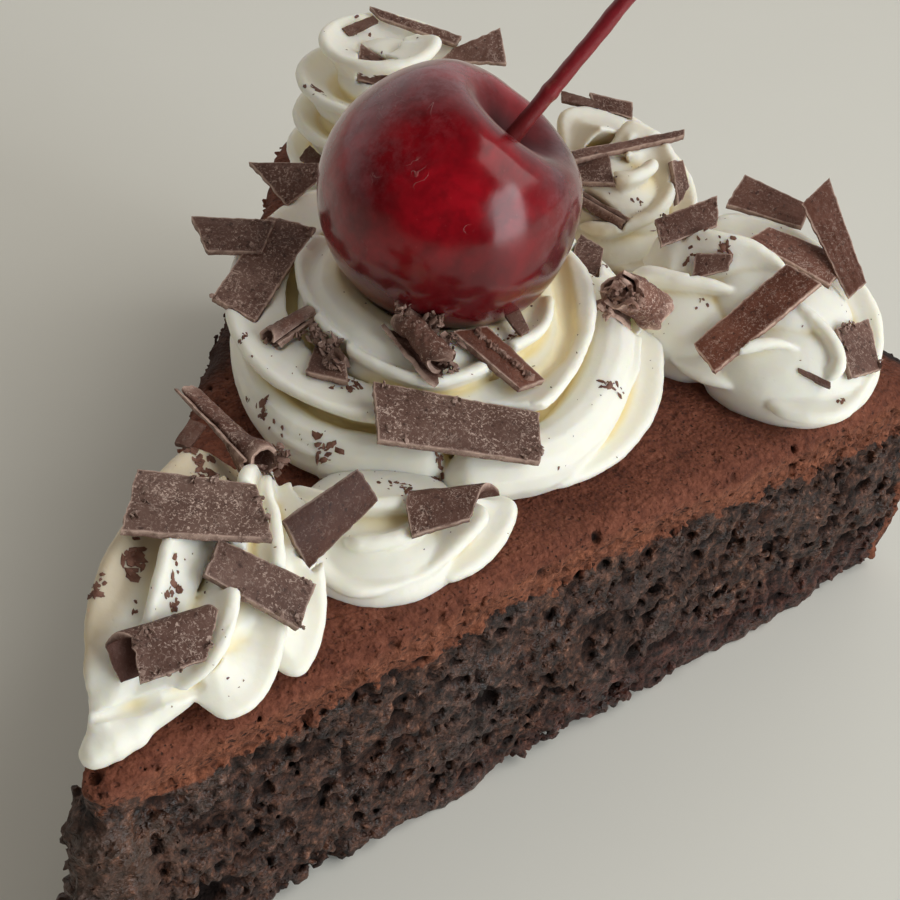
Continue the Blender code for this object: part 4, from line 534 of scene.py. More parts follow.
def curl_mesh(curl, nu, nv, thick, grow=0.0):
    """Closed rolled sheet: a spiral across, swept from one end of the axis to the other."""
    a, b = np.array(curl["a"]), np.array(curl["b"])
    axis = b - a
    length = np.linalg.norm(axis)
    axis /= length
    m = basis(axis, (0.1, 0.2, 1.0))
    r0, r1 = curl["radius"]
    outer, inner = [], []
    for i in range(nu + 1):
        u = i / nu
        r = r0 * (1 - u) + r1 * u
        for j in range(nv + 1):
            v = j / nv
            ang = math.radians(curl["start"] + 360 * curl["turns"] * v)
            mid = r * (1 - curl["shrink"] * v) - thick / 2
            end = grow if j == nv else (-grow if j == 0 else 0)
            ang += end / max(mid, 0.3)
            c = a + axis * (length * u + (grow if i == nu else (-grow if i == 0 else 0)))
            d = m[:, 0] * math.cos(ang) + m[:, 1] * math.sin(ang)
            outer.append(c + d * (mid + thick / 2 + grow))
            inner.append(c + d * max(mid - thick / 2 - grow, 0.05))
    verts = np.array(outer + inner)
    n, cols = len(outer), nv + 1
    faces = []
    for i in range(nu):
        for j in range(nv):
            p = i * cols + j
            faces.append((p, p + cols, p + cols + 1, p + 1))
            faces.append((n + p, n + p + 1, n + p + cols + 1, n + p + cols))
    loop = [j for j in range(nv)] + [i * cols + nv for i in range(nu)] + [nu * cols + nv - j for j in range(nv)] + [(nu - i) * cols for i in range(nu)]
    for k, p in enumerate(loop):
        q = loop[(k + 1) % len(loop)]
        faces.append((p, q, n + q, n + p))
    return verts, faces


# ---- the sponge: a slice with two cut sides, a domed top with rounded edges, and the baked outer side
SHOULDER = 1.9                      # rounding of the top edges
TIP_ROUND = 1.6
CENTRE = (72.0, 0.0)                # point of the slice that the rings close on


def slice_outline(n_side, n_rim):
    """Closed outline seen from above, counter-clockwise from the tip, with outward directions and the share that is rim."""
    half = APEX / 2
    pts, out, rim, inwards = [], [], [], []
    corner = 3.0

    def add(x, y, nx, ny, r, slide=None):
        # slide: how far towards the rim the point moves for each millimetre of inset, so that rings close on the tip
        pts.append((x, y))
        out.append((nx, ny))
        rim.append(r)
        if slide is None:
            inwards.append((-nx, -ny))
        elif slide == "tip":
            inwards.append((1 / math.sin(half), 0.0))
        else:
            side = 1 if y > 0 else -1
            inwards.append((-nx + slide * math.cos(half), -ny + side * slide * math.sin(half)))

    # the rounded tip
    for k in range(-2, 3):
        a = math.pi - k * (math.pi / 2 - half) / 2.0 * -1
        c = TIP_ROUND / math.sin(half)
        add(c + TIP_ROUND * math.cos(a), TIP_ROUND * math.sin(a), math.cos(a), math.sin(a), 0.0, "tip")
    start = TIP_ROUND / math.tan(half)
    end = math.sqrt((CAKE_R - corner) ** 2 - corner ** 2)
    # the right cut side
    for i in range(1, n_side):
        s = start + (end - start) * i / (n_side - 1)
        add(s * math.cos(half), -s * math.sin(half), -math.sin(half), -math.cos(half), 0.0, (1 - i / (n_side - 1)) / math.tan(half))
    # corner, baked side, corner
    da = math.asin(corner / (CAKE_R - corner))
    cx = end * math.cos(half) + corner * math.sin(half)
    cy = end * math.sin(half) - corner * math.cos(half)
    for k in (1, 2, 3):
        a = -half - math.pi / 2 + (math.pi / 2 + da) * k / 4
        add(cx + corner * math.cos(a), -cy + corner * math.sin(a), math.cos(a), math.sin(a), k / 4)
    for i in range(n_rim + 1):
        a = -half + da + (2 * half - 2 * da) * i / n_rim
        add(CAKE_R * math.cos(a), CAKE_R * math.sin(a), math.cos(a), math.sin(a), 1.0)
    for k in (3, 2, 1):
        a = half + math.pi / 2 - (math.pi / 2 + da) * k / 4
        add(cx + corner * math.cos(a), cy + corner * math.sin(a), math.cos(a), math.sin(a), k / 4)
    for i in range(n_side - 1, 0, -1):
        s = start + (end - start) * i / (n_side - 1)
        add(s * math.cos(half), s * math.sin(half), -math.sin(half), math.cos(half), 0.0, (1 - i / (n_side - 1)) / math.tan(half))
    return np.array(pts), np.array(out), np.array(rim), np.array(inwards)


def cut_wander(x, y, z):
    """How far a cut side strays from flat, in millimetres."""
    return 0.45 * np.sin(x * 0.13 + z * 0.21 + np.sign(y) * 1.3) + 0.25 * np.sin(x * 0.41 - z * 0.33 + y)


def sponge_mesh(n_side, n_rim, walls, caps, grow=0.0):
    """Closed slice built of rings, from the middle of its base, up the sides and in over the top."""
    pts, out, rim, inwards = slice_outline(n_side, n_rim)
    levels = []
    for inset, z in ((1.6, 0.0), (0.7, 0.5), (0.2, 2.2)):
        levels.append((inset * (1 + 0.7 * rim), np.full(len(pts), z) - (grow if z == 0 else 0)))
    top = top_z(pts[:, 0], pts[:, 1])
    for w in range(1, walls + 1):
        levels.append((np.zeros(len(pts)), 2.2 + (top - SHOULDER - 2.2) * w / walls))
    for a in (30, 60, 90):
        r = SHOULDER * (1 + 0.4 * rim)
        levels.append((r * (1 - math.cos(math.radians(a))), top - SHOULDER + (SHOULDER + grow) * math.sin(math.radians(a))))
    verts = [np.array([[CENTRE[0], CENTRE[1], levels[0][1][0]]])]
    for inset, z in levels:
        xy = pts + inwards * (inset - grow)[:, None]
        stray = cut_wander(xy[:, 0], xy[:, 1], z) * (1 - rim) * np.clip(z / 6, 0, 1) * np.clip((xy[:, 0] - 3) / 8, 0, 1)
        xy = xy + out * stray[:, None]
        verts.append(np.column_stack([xy, z]))
    ring = verts[-1]
    for k in range(1, caps + 1):
        f = k / (caps + 1)
        xy = ring[:, :2] * (1 - f) + np.array(CENTRE) * f
        verts.append(np.column_stack([xy, top_z(xy[:, 0], xy[:, 1]) + grow + 0.12 * np.sin(xy[:, 0] * 0.3) * np.cos(xy[:, 1] * 0.27)]))
    verts.append(np.array([[CENTRE[0], CENTRE[1], float(top_z(*CENTRE)) + grow]]))
    n = len(pts)
    count = len(levels) + caps
    faces = [(0, 1 + (j + 1) % n, 1 + j) for j in range(n)]
    for i in range(count - 1):
        for j in range(n):
            a, b = 1 + i * n + j, 1 + i * n + (j + 1) % n
            faces.append((a, b, b + n, a + n))
    last = 1 + (count - 1) * n
    faces += [(last + j, last + (j + 1) % n, last + n) for j in range(n)]
    return np.vstack(verts), faces


# ---- noise, fields of distance on a grid, and meshes
class Noise:
    """Smooth value noise from -1 to 1, the same each run for one seed."""

    def __init__(self, seed, n=40):
        self.n = n
        self.table = (np.random.default_rng(seed).random((n, n, n)) * 2 - 1).astype(np.float32)

    def __call__(self, p, cell):
        q = np.asarray(p, np.float32) / np.float32(cell) + np.float32(1000.0)
        i = np.floor(q).astype(np.int32)
        f = q - i
        f = f * f * (3 - 2 * f)
        i %= self.n
        j = (i + 1) % self.n
        t = self.table
        x0, y0, z0 = i[..., 0], i[..., 1], i[..., 2]
        x1, y1, z1 = j[..., 0], j[..., 1], j[..., 2]
        fx, fy, fz = f[..., 0], f[..., 1], f[..., 2]
        a = t[x0, y0, z0] * (1 - fx) + t[x1, y0, z0] * fx
        b = t[x0, y1, z0] * (1 - fx) + t[x1, y1, z0] * fx
        c = t[x0, y0, z1] * (1 - fx) + t[x1, y0, z1] * fx
        d = t[x0, y1, z1] * (1 - fx) + t[x1, y1, z1] * fx
        return (a * (1 - fy) + b * fy) * (1 - fz) + (c * (1 - fy) + d * fy) * fz


def field_of(parts, h, reach, pad=2.0):
    """Signed distance to closed bodies, negative inside, on a grid of cubes of size h. Returns the field and its lowest corner's index."""
    pts = np.vstack([v for v, _ in parts]).astype(np.float32)
    tris, quads, start = [], [], 0
    for v, f in parts:
        for face in f:
            if len(face) == 3:
                tris.append([i + start for i in face])
            else:
                quads.append([i + start for i in face])
        start += len(v)
    return field_of_arrays(pts, np.array(tris or np.zeros((0, 3)), np.uint32), np.array(quads or np.zeros((0, 4)), np.uint32), h, reach, pad)


def field_of_arrays(pts, tris, quads, h, reach, pad=2.0):
    grid = openvdb.FloatGrid.createLevelSetFromPolygons(pts, triangles=tris, quads=quads, transform=openvdb.createLinearTransform(h), halfWidth=reach / h)
    low = np.floor((pts.min(0) - pad) / h).astype(int)
    high = np.ceil((pts.max(0) + pad) / h).astype(int)
    field = np.empty(tuple(int(n) for n in high - low + 1), np.float32)
    grid.copyToArray(field, ijk=tuple(int(n) for n in low))
    return field, low


def skin_of(field, low, h):
    """Surface of the field: points in millimetres, triangles and quads, faces pointing out."""
    grid = openvdb.FloatGrid(float(field.max()))
    grid.copyFromArray(np.ascontiguousarray(field), ijk=tuple(int(n) for n in low))
    grid.transform = openvdb.createLinearTransform(h)
    pts, tris, quads = grid.convertToPolygons(isovalue=0.0, adaptivity=0.0)
    a, b, c, d = (pts[quads[:, k]] for k in range(4))
    volume = np.einsum("ij,ij->i", a, np.cross(b, c)).sum() + np.einsum("ij,ij->i", a, np.cross(c, d)).sum()
    if len(tris):
        volume += np.einsum("ij,ij->i", pts[tris[:, 0]], np.cross(pts[tris[:, 1]], pts[tris[:, 2]])).sum()
    if volume < 0:
        tris, quads = tris[:, ::-1], quads[:, ::-1]
    return pts, tris, quads


def points_of(shape, low, h):
    """Positions of the grid's cubes, in millimetres, as three arrays that broadcast."""
    return [((np.arange(n) + low[k]) * h).astype(np.float32).reshape([-1 if j == k else 1 for j in range(3)]) for k, n in enumerate(shape)]


def read_field(field, low, h, p, outside=9.0):
    """Value of the field at points, between its cubes."""
    q = np.asarray(p, np.float64) / h - low
    n = np.array(field.shape)
    inside = ((q >= 0) & (q < n - 1.001)).all(1)
    out = np.full(len(q), outside, np.float32)
    q = q[inside]
    i = np.floor(q).astype(int)
    f = (q - i).astype(np.float32)
    value = 0
    for dx in (0, 1):
        for dy in (0, 1):
            for dz in (0, 1):
                w = (f[:, 0] if dx else 1 - f[:, 0]) * (f[:, 1] if dy else 1 - f[:, 1]) * (f[:, 2] if dz else 1 - f[:, 2])
                value = value + w * field[i[:, 0] + dx, i[:, 1] + dy, i[:, 2] + dz]
    out[inside] = value
    return out


def blur(field, sigma):
    """Gaussian blur along the three axes; sigma in cubes."""
    reach = max(1, int(math.ceil(3 * sigma)))
    k = np.exp(-0.5 * (np.arange(-reach, reach + 1) / sigma) ** 2)
    k = (k / k.sum()).astype(np.float32)
    for axis in range(3):
        out = np.zeros_like(field)
        padded = np.pad(field, [(reach, reach) if a == axis else (0, 0) for a in range(3)], mode="edge")
        n = field.shape[axis]
        for t, w in enumerate(k):
            out += w * np.take(padded, range(t, t + n), axis=axis) if axis else w * padded[t:t + n]
        field = out
    return field


# the design's origin in the frame, from the sponge's box
frame_low, frame_high = (np.array(v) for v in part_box("sponge"))
design = np.array(sponge_mesh(60, 40, 8, 8)[0])
ORIGIN = (frame_low + frame_high) / 2 - (design.min(0) + design.max(0)) / 2 * MM
print("origin", ORIGIN)


def metres(p):
    return np.array(p, np.float64) * MM + ORIGIN


def mesh_object(name, pts, tris, quads, mat, smooth=True):
    """Object from points in millimetres and arrays of triangles and quads."""
    mesh = bpy.data.meshes.new(name)
    pts = metres(pts).astype(np.float32)
    tris = np.asarray(tris, np.int32).reshape(-1, 3)
    quads = np.asarray(quads, np.int32).reshape(-1, 4)
    mesh.vertices.add(len(pts))
    mesh.vertices.foreach_set("co", pts.ravel())
    mesh.loops.add(tris.size + quads.size)
    mesh.loops.foreach_set("vertex_index", np.concatenate([tris.ravel(), quads.ravel()]))
    mesh.polygons.add(len(tris) + len(quads))
    start = np.concatenate([np.arange(len(tris)) * 3, tris.size + np.arange(len(quads)) * 4]).astype(np.int32)
    mesh.polygons.foreach_set("loop_start", start)
    mesh.update(calc_edges=True)
    mesh.validate()
    if smooth:
        mesh.shade_smooth()
    mesh.materials.append(mat)
    obj = bpy.data.objects.new(name, mesh)
    bpy.context.scene.collection.objects.link(obj)
    return obj


def mesh_from_parts(name, parts, mat, smooth=True):
    pts = np.vstack([v for v, _ in parts])
    tris, quads, start = [], [], 0
    for v, f in parts:
        for face in f:
            (tris if len(face) == 3 else quads).append([i + start for i in face])
        start += len(v)
    return mesh_object(name, pts, tris or np.zeros((0, 3)), quads or np.zeros((0, 4)), mat, smooth)


def settle(obj):
    """Turns the object's modifiers into its mesh."""
    bpy.context.view_layer.update()
    mesh = bpy.data.meshes.new_from_object(obj.evaluated_get(bpy.context.evaluated_depsgraph_get()))
    obj.modifiers.clear()
    old, obj.data = obj.data, mesh
    bpy.data.meshes.remove(old)
    return obj


def fewer(obj, triangles):
    """Merges faces, the flattest first, until about this many triangles are left."""
    obj.data.calc_loop_triangles()
    now = len(obj.data.loop_triangles)
    if now > triangles:
        m = obj.modifiers.new("fewer", "DECIMATE")
        m.ratio = triangles / now
        settle(obj)
    return obj


def points_mm(obj):
    co = np.empty(len(obj.data.vertices) * 3, np.float32)
    obj.data.vertices.foreach_get("co", co)
    return (co.reshape(-1, 3).astype(np.float64) - ORIGIN) / MM


def set_points_mm(obj, pts):
    obj.data.vertices.foreach_set("co", metres(pts).astype(np.float32).ravel())
    obj.data.update()


def normals_of(obj):
    n = np.empty(len(obj.data.vertices) * 3, np.float32)
    obj.data.vertex_normals.foreach_get("vector", n)
    return n.reshape(-1, 3)


def tag(obj, name, values):
    """A number for each point of the mesh, which the material reads."""
    a = obj.data.attributes.new(name, "FLOAT", "POINT")
    a.data.foreach_set("value", np.asarray(values, np.float32))


def smoothstep(a, b, x):
    t = np.clip((x - a) / (b - a), 0, 1)
    return t * t * (3 - 2 * t)


# ---- materials
class Shader:
    """Small helper that adds and links nodes of one material."""

    def __init__(self, name):
        self.material = bpy.data.materials.new(name)
        self.material.use_nodes = True
        self.tree = self.material.node_tree
        self.bsdf = self.tree.nodes["Principled BSDF"]
        self.coords = self.tree.nodes.new("ShaderNodeTexCoord").outputs["Object"]

    def set(self, **values):
        for name, value in values.items():
            self.bsdf.inputs[name.replace("_", " ")].default_value = value

    def node(self, kind, settings=(), **inputs):
        n = self.tree.nodes.new(kind)
        for name, value in dict(settings).items():
            setattr(n, name, value)
        for name, value in inputs.items():
            socket = n.inputs[name.replace("_", " ")]
            if isinstance(value, bpy.types.NodeSocket):
                self.tree.links.new(value, socket)
            else:
                socket.default_value = value
        return n

    def link(self, a, b):
        self.tree.links.new(a, b)

    def noise(self, scale, detail=3.0, rough=0.55, distortion=0.0, vector=None):
        n = self.node("ShaderNodeTexNoise", Scale=scale, Detail=detail, Roughness=rough, Distortion=distortion)
        self.link(vector or self.coords, n.inputs["Vector"])
        return n.outputs["Fac"]

    def cells(self, scale, feature="F1", randomness=1.0, vector=None, out="Distance"):
        n = self.node("ShaderNodeTexVoronoi", {"feature": feature}, Scale=scale, Randomness=randomness)
        self.link(vector or self.coords, n.inputs["Vector"])
        return n.outputs[out]

    def attribute(self, name):
        n = self.node("ShaderNodeAttribute", {"attribute_name": name})
        return n.outputs["Fac"]

    def math(self, operation, a, b=None, clamp=False):
        n = self.node("ShaderNodeMath", {"operation": operation, "use_clamp": clamp})
        for k, v in enumerate((a, b)):
            if v is None:
                continue
            if isinstance(v, bpy.types.NodeSocket):
                self.link(v, n.inputs[k])
            else:
                n.inputs[k].default_value = v
        return n.outputs[0]

    def ramp(self, fac, stops, interpolation="LINEAR"):
        n = self.node("ShaderNodeValToRGB")
        n.color_ramp.interpolation = interpolation
        e = n.color_ramp.elements
        while len(e) < len(stops):
            e.new(0.5)
        for k, (at, colour) in enumerate(stops):
            e[k].position = at
            e[k].color = (*colour, 1) if hasattr(colour, "__len__") else (colour, colour, colour, 1)
        self.link(fac, n.inputs[0])
        return n.outputs[0]

    def mix(self, fac, a, b, blend="MIX"):
        n = self.node("ShaderNodeMix", {"data_type": "RGBA", "blend_type": blend})
        for socket, v in ((n.inputs[0], fac), (n.inputs[6], a), (n.inputs[7], b)):
            if isinstance(v, bpy.types.NodeSocket):
                self.link(v, socket)
            elif hasattr(v, "__len__"):
                socket.default_value = (*v, 1)
            else:
                socket.default_value = v
        return n.outputs[2]

    def bump(self, height, distance, strength=1.0, normal=None):
        n = self.node("ShaderNodeBump", Strength=strength, Distance=distance)
        self.link(height, n.inputs["Height"])
        if normal is not None:
            self.link(normal, n.inputs["Normal"])
        return n.outputs["Normal"]


# ---- camera, floor and light
box_low, box_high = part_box("sponge")
middle = Vector(((box_low.x + box_high.x) / 2, (box_low.y + box_high.y) / 2, 0.0))


def aim_rows(azimuth, elevation, roll):
    """Camera axes in the row frame, from its angles in degrees."""
    a, e, r = (math.radians(v) for v in (azimuth, elevation, roll))
    forward = Vector((math.cos(e) * math.cos(a), math.cos(e) * math.sin(a), -math.sin(e)))
    right = forward.cross(Vector((0, 0, 1))).normalized()
    up = right.cross(forward)
    return math.cos(r) * right + math.sin(r) * up, -math.sin(r) * right + math.cos(r) * up, forward


right, up, forward = aim_rows(23.47, 40.25, 7.38)
target = middle + Vector((0.00045, -0.00412, 0.030))
where = target - forward * 0.211524
data = bpy.data.cameras.new("camera")
data.lens = 83.6
data.sensor_width = 36.0
data.clip_start = 0.01
data.clip_end = 20.0
camera = bpy.data.objects.new("camera", data)
camera.matrix_world = Matrix(((right.x, up.x, -forward.x, where.x), (right.y, up.y, -forward.y, where.y), (right.z, up.z, -forward.z, where.z), (0, 0, 0, 1)))
bpy.context.scene.collection.objects.link(camera)
bpy.context.scene.camera = camera
bpy.context.scene.view_settings.view_transform = "Standard"

floor_mesh = bpy.data.meshes.new("floor")
floor_mesh.from_pydata([(-4, -4, 0), (4, -4, 0), (4, 4, 0), (-4, 4, 0)], [], [(0, 1, 2, 3)])
floor = bpy.data.objects.new("floor", floor_mesh)
bpy.context.scene.collection.objects.link(floor)
s = Shader("floor")
s.set(Base_Color=(0.82, 0.805, 0.745, 1), Roughness=0.5)
s.link(s.mix(s.noise(60.0, 3), (0.812, 0.797, 0.737), (0.828, 0.813, 0.753)), s.bsdf.inputs["Base Color"])
floor_mesh.materials.append(s.material)


def area_light(name, towards, distance, size, power, colour, centre=(0.0, 0.0, 0.03)):
    """Rectangular light that faces the slice from a direction."""
    light = bpy.data.lights.new(name, "AREA")
    light.shape = "RECTANGLE"
    light.size, light.size_y = size
    light.energy = power
    light.color = colour
    obj = bpy.data.objects.new(name, light)
    d = Vector(towards).normalized()
    obj.location = Vector(centre) + d * distance
    obj.rotation_euler = d.to_track_quat("Z", "Y").to_euler()
    bpy.context.scene.collection.objects.link(obj)
    return obj


area_light("key", (0.22, -0.62, 0.75), 0.85, (0.66, 0.66), 2.75, (1.0, 1.0, 0.97))
area_light("window", (-0.16, -0.93, 0.30), 0.70, (0.38, 0.50), 2.85, (0.90, 0.965, 1.0))

world = bpy.data.worlds.new("studio")
bpy.context.scene.world = world
world.use_nodes = True
tree = world.node_tree
back = tree.nodes["Background"]
coords = tree.nodes.new("ShaderNodeTexCoord")
dot = tree.nodes.new("ShaderNodeVectorMath")
dot.operation = "DOT_PRODUCT"
dot.inputs[1].default_value = tuple(-forward)
tree.links.new(coords.outputs["Generated"], dot.inputs[0])
half = tree.nodes.new("ShaderNodeMath")
half.operation = "MULTIPLY_ADD"
half.inputs[1].default_value = 0.5
half.inputs[2].default_value = 0.5
tree.links.new(dot.outputs["Value"], half.inputs[0])


def sky(stops):
    """Brightness of the room by direction: pale walls, darker where the viewer stands."""
    ramp = tree.nodes.new("ShaderNodeValToRGB")
    for element, (at, colour) in zip(ramp.color_ramp.elements, stops):
        element.position = at
        element.color = (*colour, 1)
    tree.links.new(half.outputs[0], ramp.inputs[0])
    return ramp.outputs[0]


def choose(socket, a, b):
    mix = tree.nodes.new("ShaderNodeMix")
    mix.data_type = "RGBA"
    tree.links.new(socket, mix.inputs[0])
    for value, into in ((a, mix.inputs[6]), (b, mix.inputs[7])):
        if isinstance(value, bpy.types.NodeSocket):
            tree.links.new(value, into)
        else:
            into.default_value = (*value, 1)
    return mix.outputs[2]


rays = tree.nodes.new("ShaderNodeLightPath").outputs
soft_room = sky([(0.35, (0.76, 0.715, 0.640)), (0.72, (0.21, 0.20, 0.18))])
mirrored = sky([(0.42, (0.60, 0.60, 0.60)), (0.70, (0.03, 0.03, 0.03))])
colour = choose(rays["Is Glossy Ray"], soft_room, mirrored)
colour = choose(rays["Is Camera Ray"], colour, (0.52, 0.51, 0.47))
tree.links.new(colour, back.inputs[0])
back.inputs[1].default_value = 1.0


# ---- whipped cream
def cream_material():
    s = Shader("whipped_cream")
    crease_shade = s.attribute("crease_shade")
    tint = s.noise(90.0, 3)
    base = s.mix(s.math("MULTIPLY", tint, 0.6), (0.925, 0.905, 0.825), (0.900, 0.868, 0.750))
    # painted shade: creases, the cream round the cherry and the inner valley are tinted a deeper, darker yellow
    deep = s.ramp(crease_shade, [(0.08, 0.0), (0.40, 0.30), (0.90, 1.0)])
    colour = s.mix(deep, base, (0.865, 0.735, 0.42))
    # painted shade: the side turned from the light is multiplied darker and warmer
    colour = s.mix(s.attribute("lee_shade"), colour, s.mix(1.0, colour, (0.74, 0.655, 0.545), "MULTIPLY"))
    s.link(colour, s.bsdf.inputs["Base Color"])
    s.set(Roughness=0.42, Subsurface_Weight=0.7, Subsurface_Scale=0.0009, Subsurface_Radius=(1.0, 0.85, 0.55), Specular_IOR_Level=0.35)
    rough = s.ramp(s.noise(420.0, 3), [(0.3, 0.34), (0.75, 0.52)])
    s.link(rough, s.bsdf.inputs["Roughness"])
    fine = s.noise(1700.0, 2, 0.5)
    dots = s.ramp(s.cells(900.0), [(0.0, 0.0), (0.16, 1.0)])
    n = s.bump(fine, 0.00004, 0.5)
    n = s.bump(dots, 0.00005, 0.35, n)
    s.link(n, s.bsdf.inputs["Normal"])
    return s.material


CREAM_CUBE = 0.25                       # size of the grid's cubes for the cream
CREAM_SOFT = {"cream_rosette_left": 0.12}
CREAM_CRISP = {"cream_rosette_left": 1.0, "cream_rosette_right": 1.15, "cream_rosette_middle": 0.9}
cream_noise = Noise(11)


def union_field(parts, h, reach, pad=2.0):
    """Field of several closed bodies together."""
    pts = np.vstack([v for v, _ in parts])
    low = np.floor((pts.min(0) - pad) / h).astype(int)
    high = np.ceil((pts.max(0) + pad) / h).astype(int)
    whole = np.full(tuple(high - low + 1), reach, np.float32)
    for part in parts:
        f, at = field_of([part], h, reach, pad=1.0)
        o = at - low
        view = whole[o[0]:o[0] + f.shape[0], o[1]:o[1] + f.shape[1], o[2]:o[2] + f.shape[2]]
        np.minimum(view, f, out=view)
    return whole, low


def press_chocolate(f, low, h, margin):
    """Takes away the cream that would show through a shaving or over it: each one lies pressed into the surface."""
    for flake in FLAKES.values():
        reach = max(abs(e) for e in flake["ends"]) + max(flake["half"]) + 1.0
        f = dig(f, low, h, np.array(flake["at"]), reach, lambda g: over_slab(g, flake, margin))
    for curl in CURLS.values():
        a, b = np.array(curl["a"]), np.array(curl["b"])
        reach = np.linalg.norm(b - a) / 2 + max(curl["radius"]) + 1.5
        f = dig(f, low, h, (a + b) / 2, reach, lambda g: over_curl(g, curl, margin))
    return f


def dig(f, low, h, centre, reach, region):
    i0 = np.maximum(np.floor((centre - reach) / h).astype(int) - low, 0)
    i1 = np.minimum(np.ceil((centre + reach) / h).astype(int) - low + 1, f.shape)
    if (i1 <= i0).any():
        return f
    g = np.stack(np.meshgrid(*[(np.arange(i0[k], i1[k]) + low[k]) * h for k in range(3)], indexing="ij"), -1)
    view = f[i0[0]:i1[0], i0[1]:i1[1], i0[2]:i1[2]]
    np.maximum(view, -region(g).astype(np.float32), out=view)
    return f


def over_slab(g, flake, margin):
    """Signed distance to the slab and the space just above it."""
    q = (g - np.array(flake["at"])) @ rotation(flake["turn"])
    x, y, z = q[..., 0], q[..., 1], q[..., 2]
    if flake["bend"]:
        r = max(flake["half"]) / math.radians(flake["bend"] / 2)
        z = z - (np.sqrt(np.maximum(r * r - y * y, 0.01)) - r)
    x0, x1, x2, x3 = flake["ends"]
    v = np.clip(y / max(flake["half"]), -1, 1)
    left, to = (x0 * (1 + v) + x3 * (1 - v)) / 2, (x1 * (1 + v) + x2 * (1 - v)) / 2
    u = np.clip((x - left) / (to - left), 0, 1)
    half = flake["half"][0] * (1 - u) + flake["half"][1] * u
    side = np.minimum(np.minimum(x - left, to - x), half - np.abs(y)) + 0.10 + margin
    deep = np.minimum(z + CHOC_T / 2 + 0.03 + margin, 2.4 - z)
    return -np.minimum(side, deep)


def over_curl(g, curl, margin):
    a, b = np.array(curl["a"]), np.array(curl["b"])
    axis = b - a
    length = np.linalg.norm(axis)
    axis = axis / length
    best = None
    for lift in (0.0, 0.8, 1.6, 2.4):
        q = g - a - np.array([0, 0, lift])
        t = q @ axis
        away = np.linalg.norm(q - t[..., None] * axis, axis=-1)
        r = curl["radius"][0] + (curl["radius"][1] - curl["radius"][0]) * np.clip(t / length, 0, 1)
        d = np.maximum(away - r - 0.02 - margin, np.maximum(-t, t - length) - 0.1 - margin)
        best = d if best is None else np.minimum(best, d)
    return best


def groove(line, radius, taper):
    """Region round a line through the given points, narrower further along it."""
    line = [np.array(p) for p in line]

    def region(g):
        best = None
        for k, (a, b) in enumerate(zip(line, line[1:])):
            ab = b - a
            t = np.clip(((g - a) @ ab) / (ab @ ab), 0, 1)
            d = np.linalg.norm(g - a - t[..., None] * ab, axis=-1) - (radius - taper * (k + t))
            best = d if best is None else np.minimum(best, d)
        return best
    return region


# where the end of the piping folds over itself, from the lobe to the tip
fold_of_tail = groove([(12.6, -3.3, 35.0), (10.0, -1.9, 35.1), (8.4, -0.1, 34.4), (6.9, 1.1, 34.3), (5.4, 2.2, 34.4)], 0.92, 0.13)
# the valley inside the top winding, on the right of the cherry
inner_valley = groove([(76.4, -5.2, 43.3), (73.6, -7.4, 42.6), (71.2, -9.0, 42.1), (68.6, -10.6, 41.5), (64.9, -11.4, 40.8), (61.4, -10.9, 40.4), (58.4, -9.4, 40.4)], 1.25, 0.13)


def cream_field(name, h, reach=1.6):
    """Field of one piping, softened, and cut off a little inside the sponge it stands on."""
    f, low = union_field(PIPINGS[name](0.6), h, reach)
    x, y, z = points_of(f.shape, low, h)
    half = APEX / 2
    edge = np.maximum(np.abs(y) * math.cos(half) - x * math.sin(half), np.hypot(x, y) - CAKE_R)
    core = np.maximum(z - (top_z(x, y) - 0.7), edge + 0.7).astype(np.float32)
    f = np.maximum(f, -core)
    f = press_chocolate(f, low, h, 0.16)
    # the piping keeps crisp: lips stand out and creases are cut in
    crisp = np.clip(blur(f, 1.15 / h) - f, -0.75, 0.75)
    soft = blur(f - CREAM_CRISP.get(name, 0.62) * crisp, CREAM_SOFT.get(name, 0.14) / h)
    if name == "cream_shell_front":
        # the tail was drawn off in one smooth pull
        tail = smoothstep(13.0, 8.5, x).astype(np.float32)
        soft = soft * (1 - tail) + blur(f, 0.55 / h) * tail
    soft = np.maximum(soft, -core)
    if name == "cream_shell_front":
        soft = dig(soft, low, h, np.array([9.0, -0.6, 34.6]), 6.5, fold_of_tail)
    if name == "cream_rosette_centre":
        soft = blur(dig(soft, low, h, np.array([67.5, -8.3, 41.8]), 13.0, inner_valley), 0.16 / h)
    # a gentle unevenness of the whole surface, and a finer one on it
    near = np.abs(soft) < 1.0
    idx = np.argwhere(near)
    p = (idx + low) * h
    wave = 0.12 * cream_noise(p, 4.2) + 0.05 * cream_noise(p, 1.5) + 0.02 * cream_noise(p, 0.6)
    # the lips are a little ragged
    lip = 1 - smoothstep(0.30, 0.46, blur((soft < 0).astype(np.float32), 1.1 / h)[tuple(idx.T)])
    wave = wave + lip * (0.05 * cream_noise(p + 30, 0.9) + 0.045 * cream_noise(p + 60, 0.5))
    soft[near] -= wave.astype(np.float32)
    return press_chocolate(soft, low, h, 0.0), low, f


def concave(soft, low, h, pts):
    """How deep in a valley each point lies, from 0 to 1: the share of matter in a ball around it."""
    inside = (soft < 0).astype(np.float32)
    wide = blur(inside, 1.5 / h)
    share = read_field(wide, low, h, pts, 0.5)
    return smoothstep(0.50, 0.72, share)


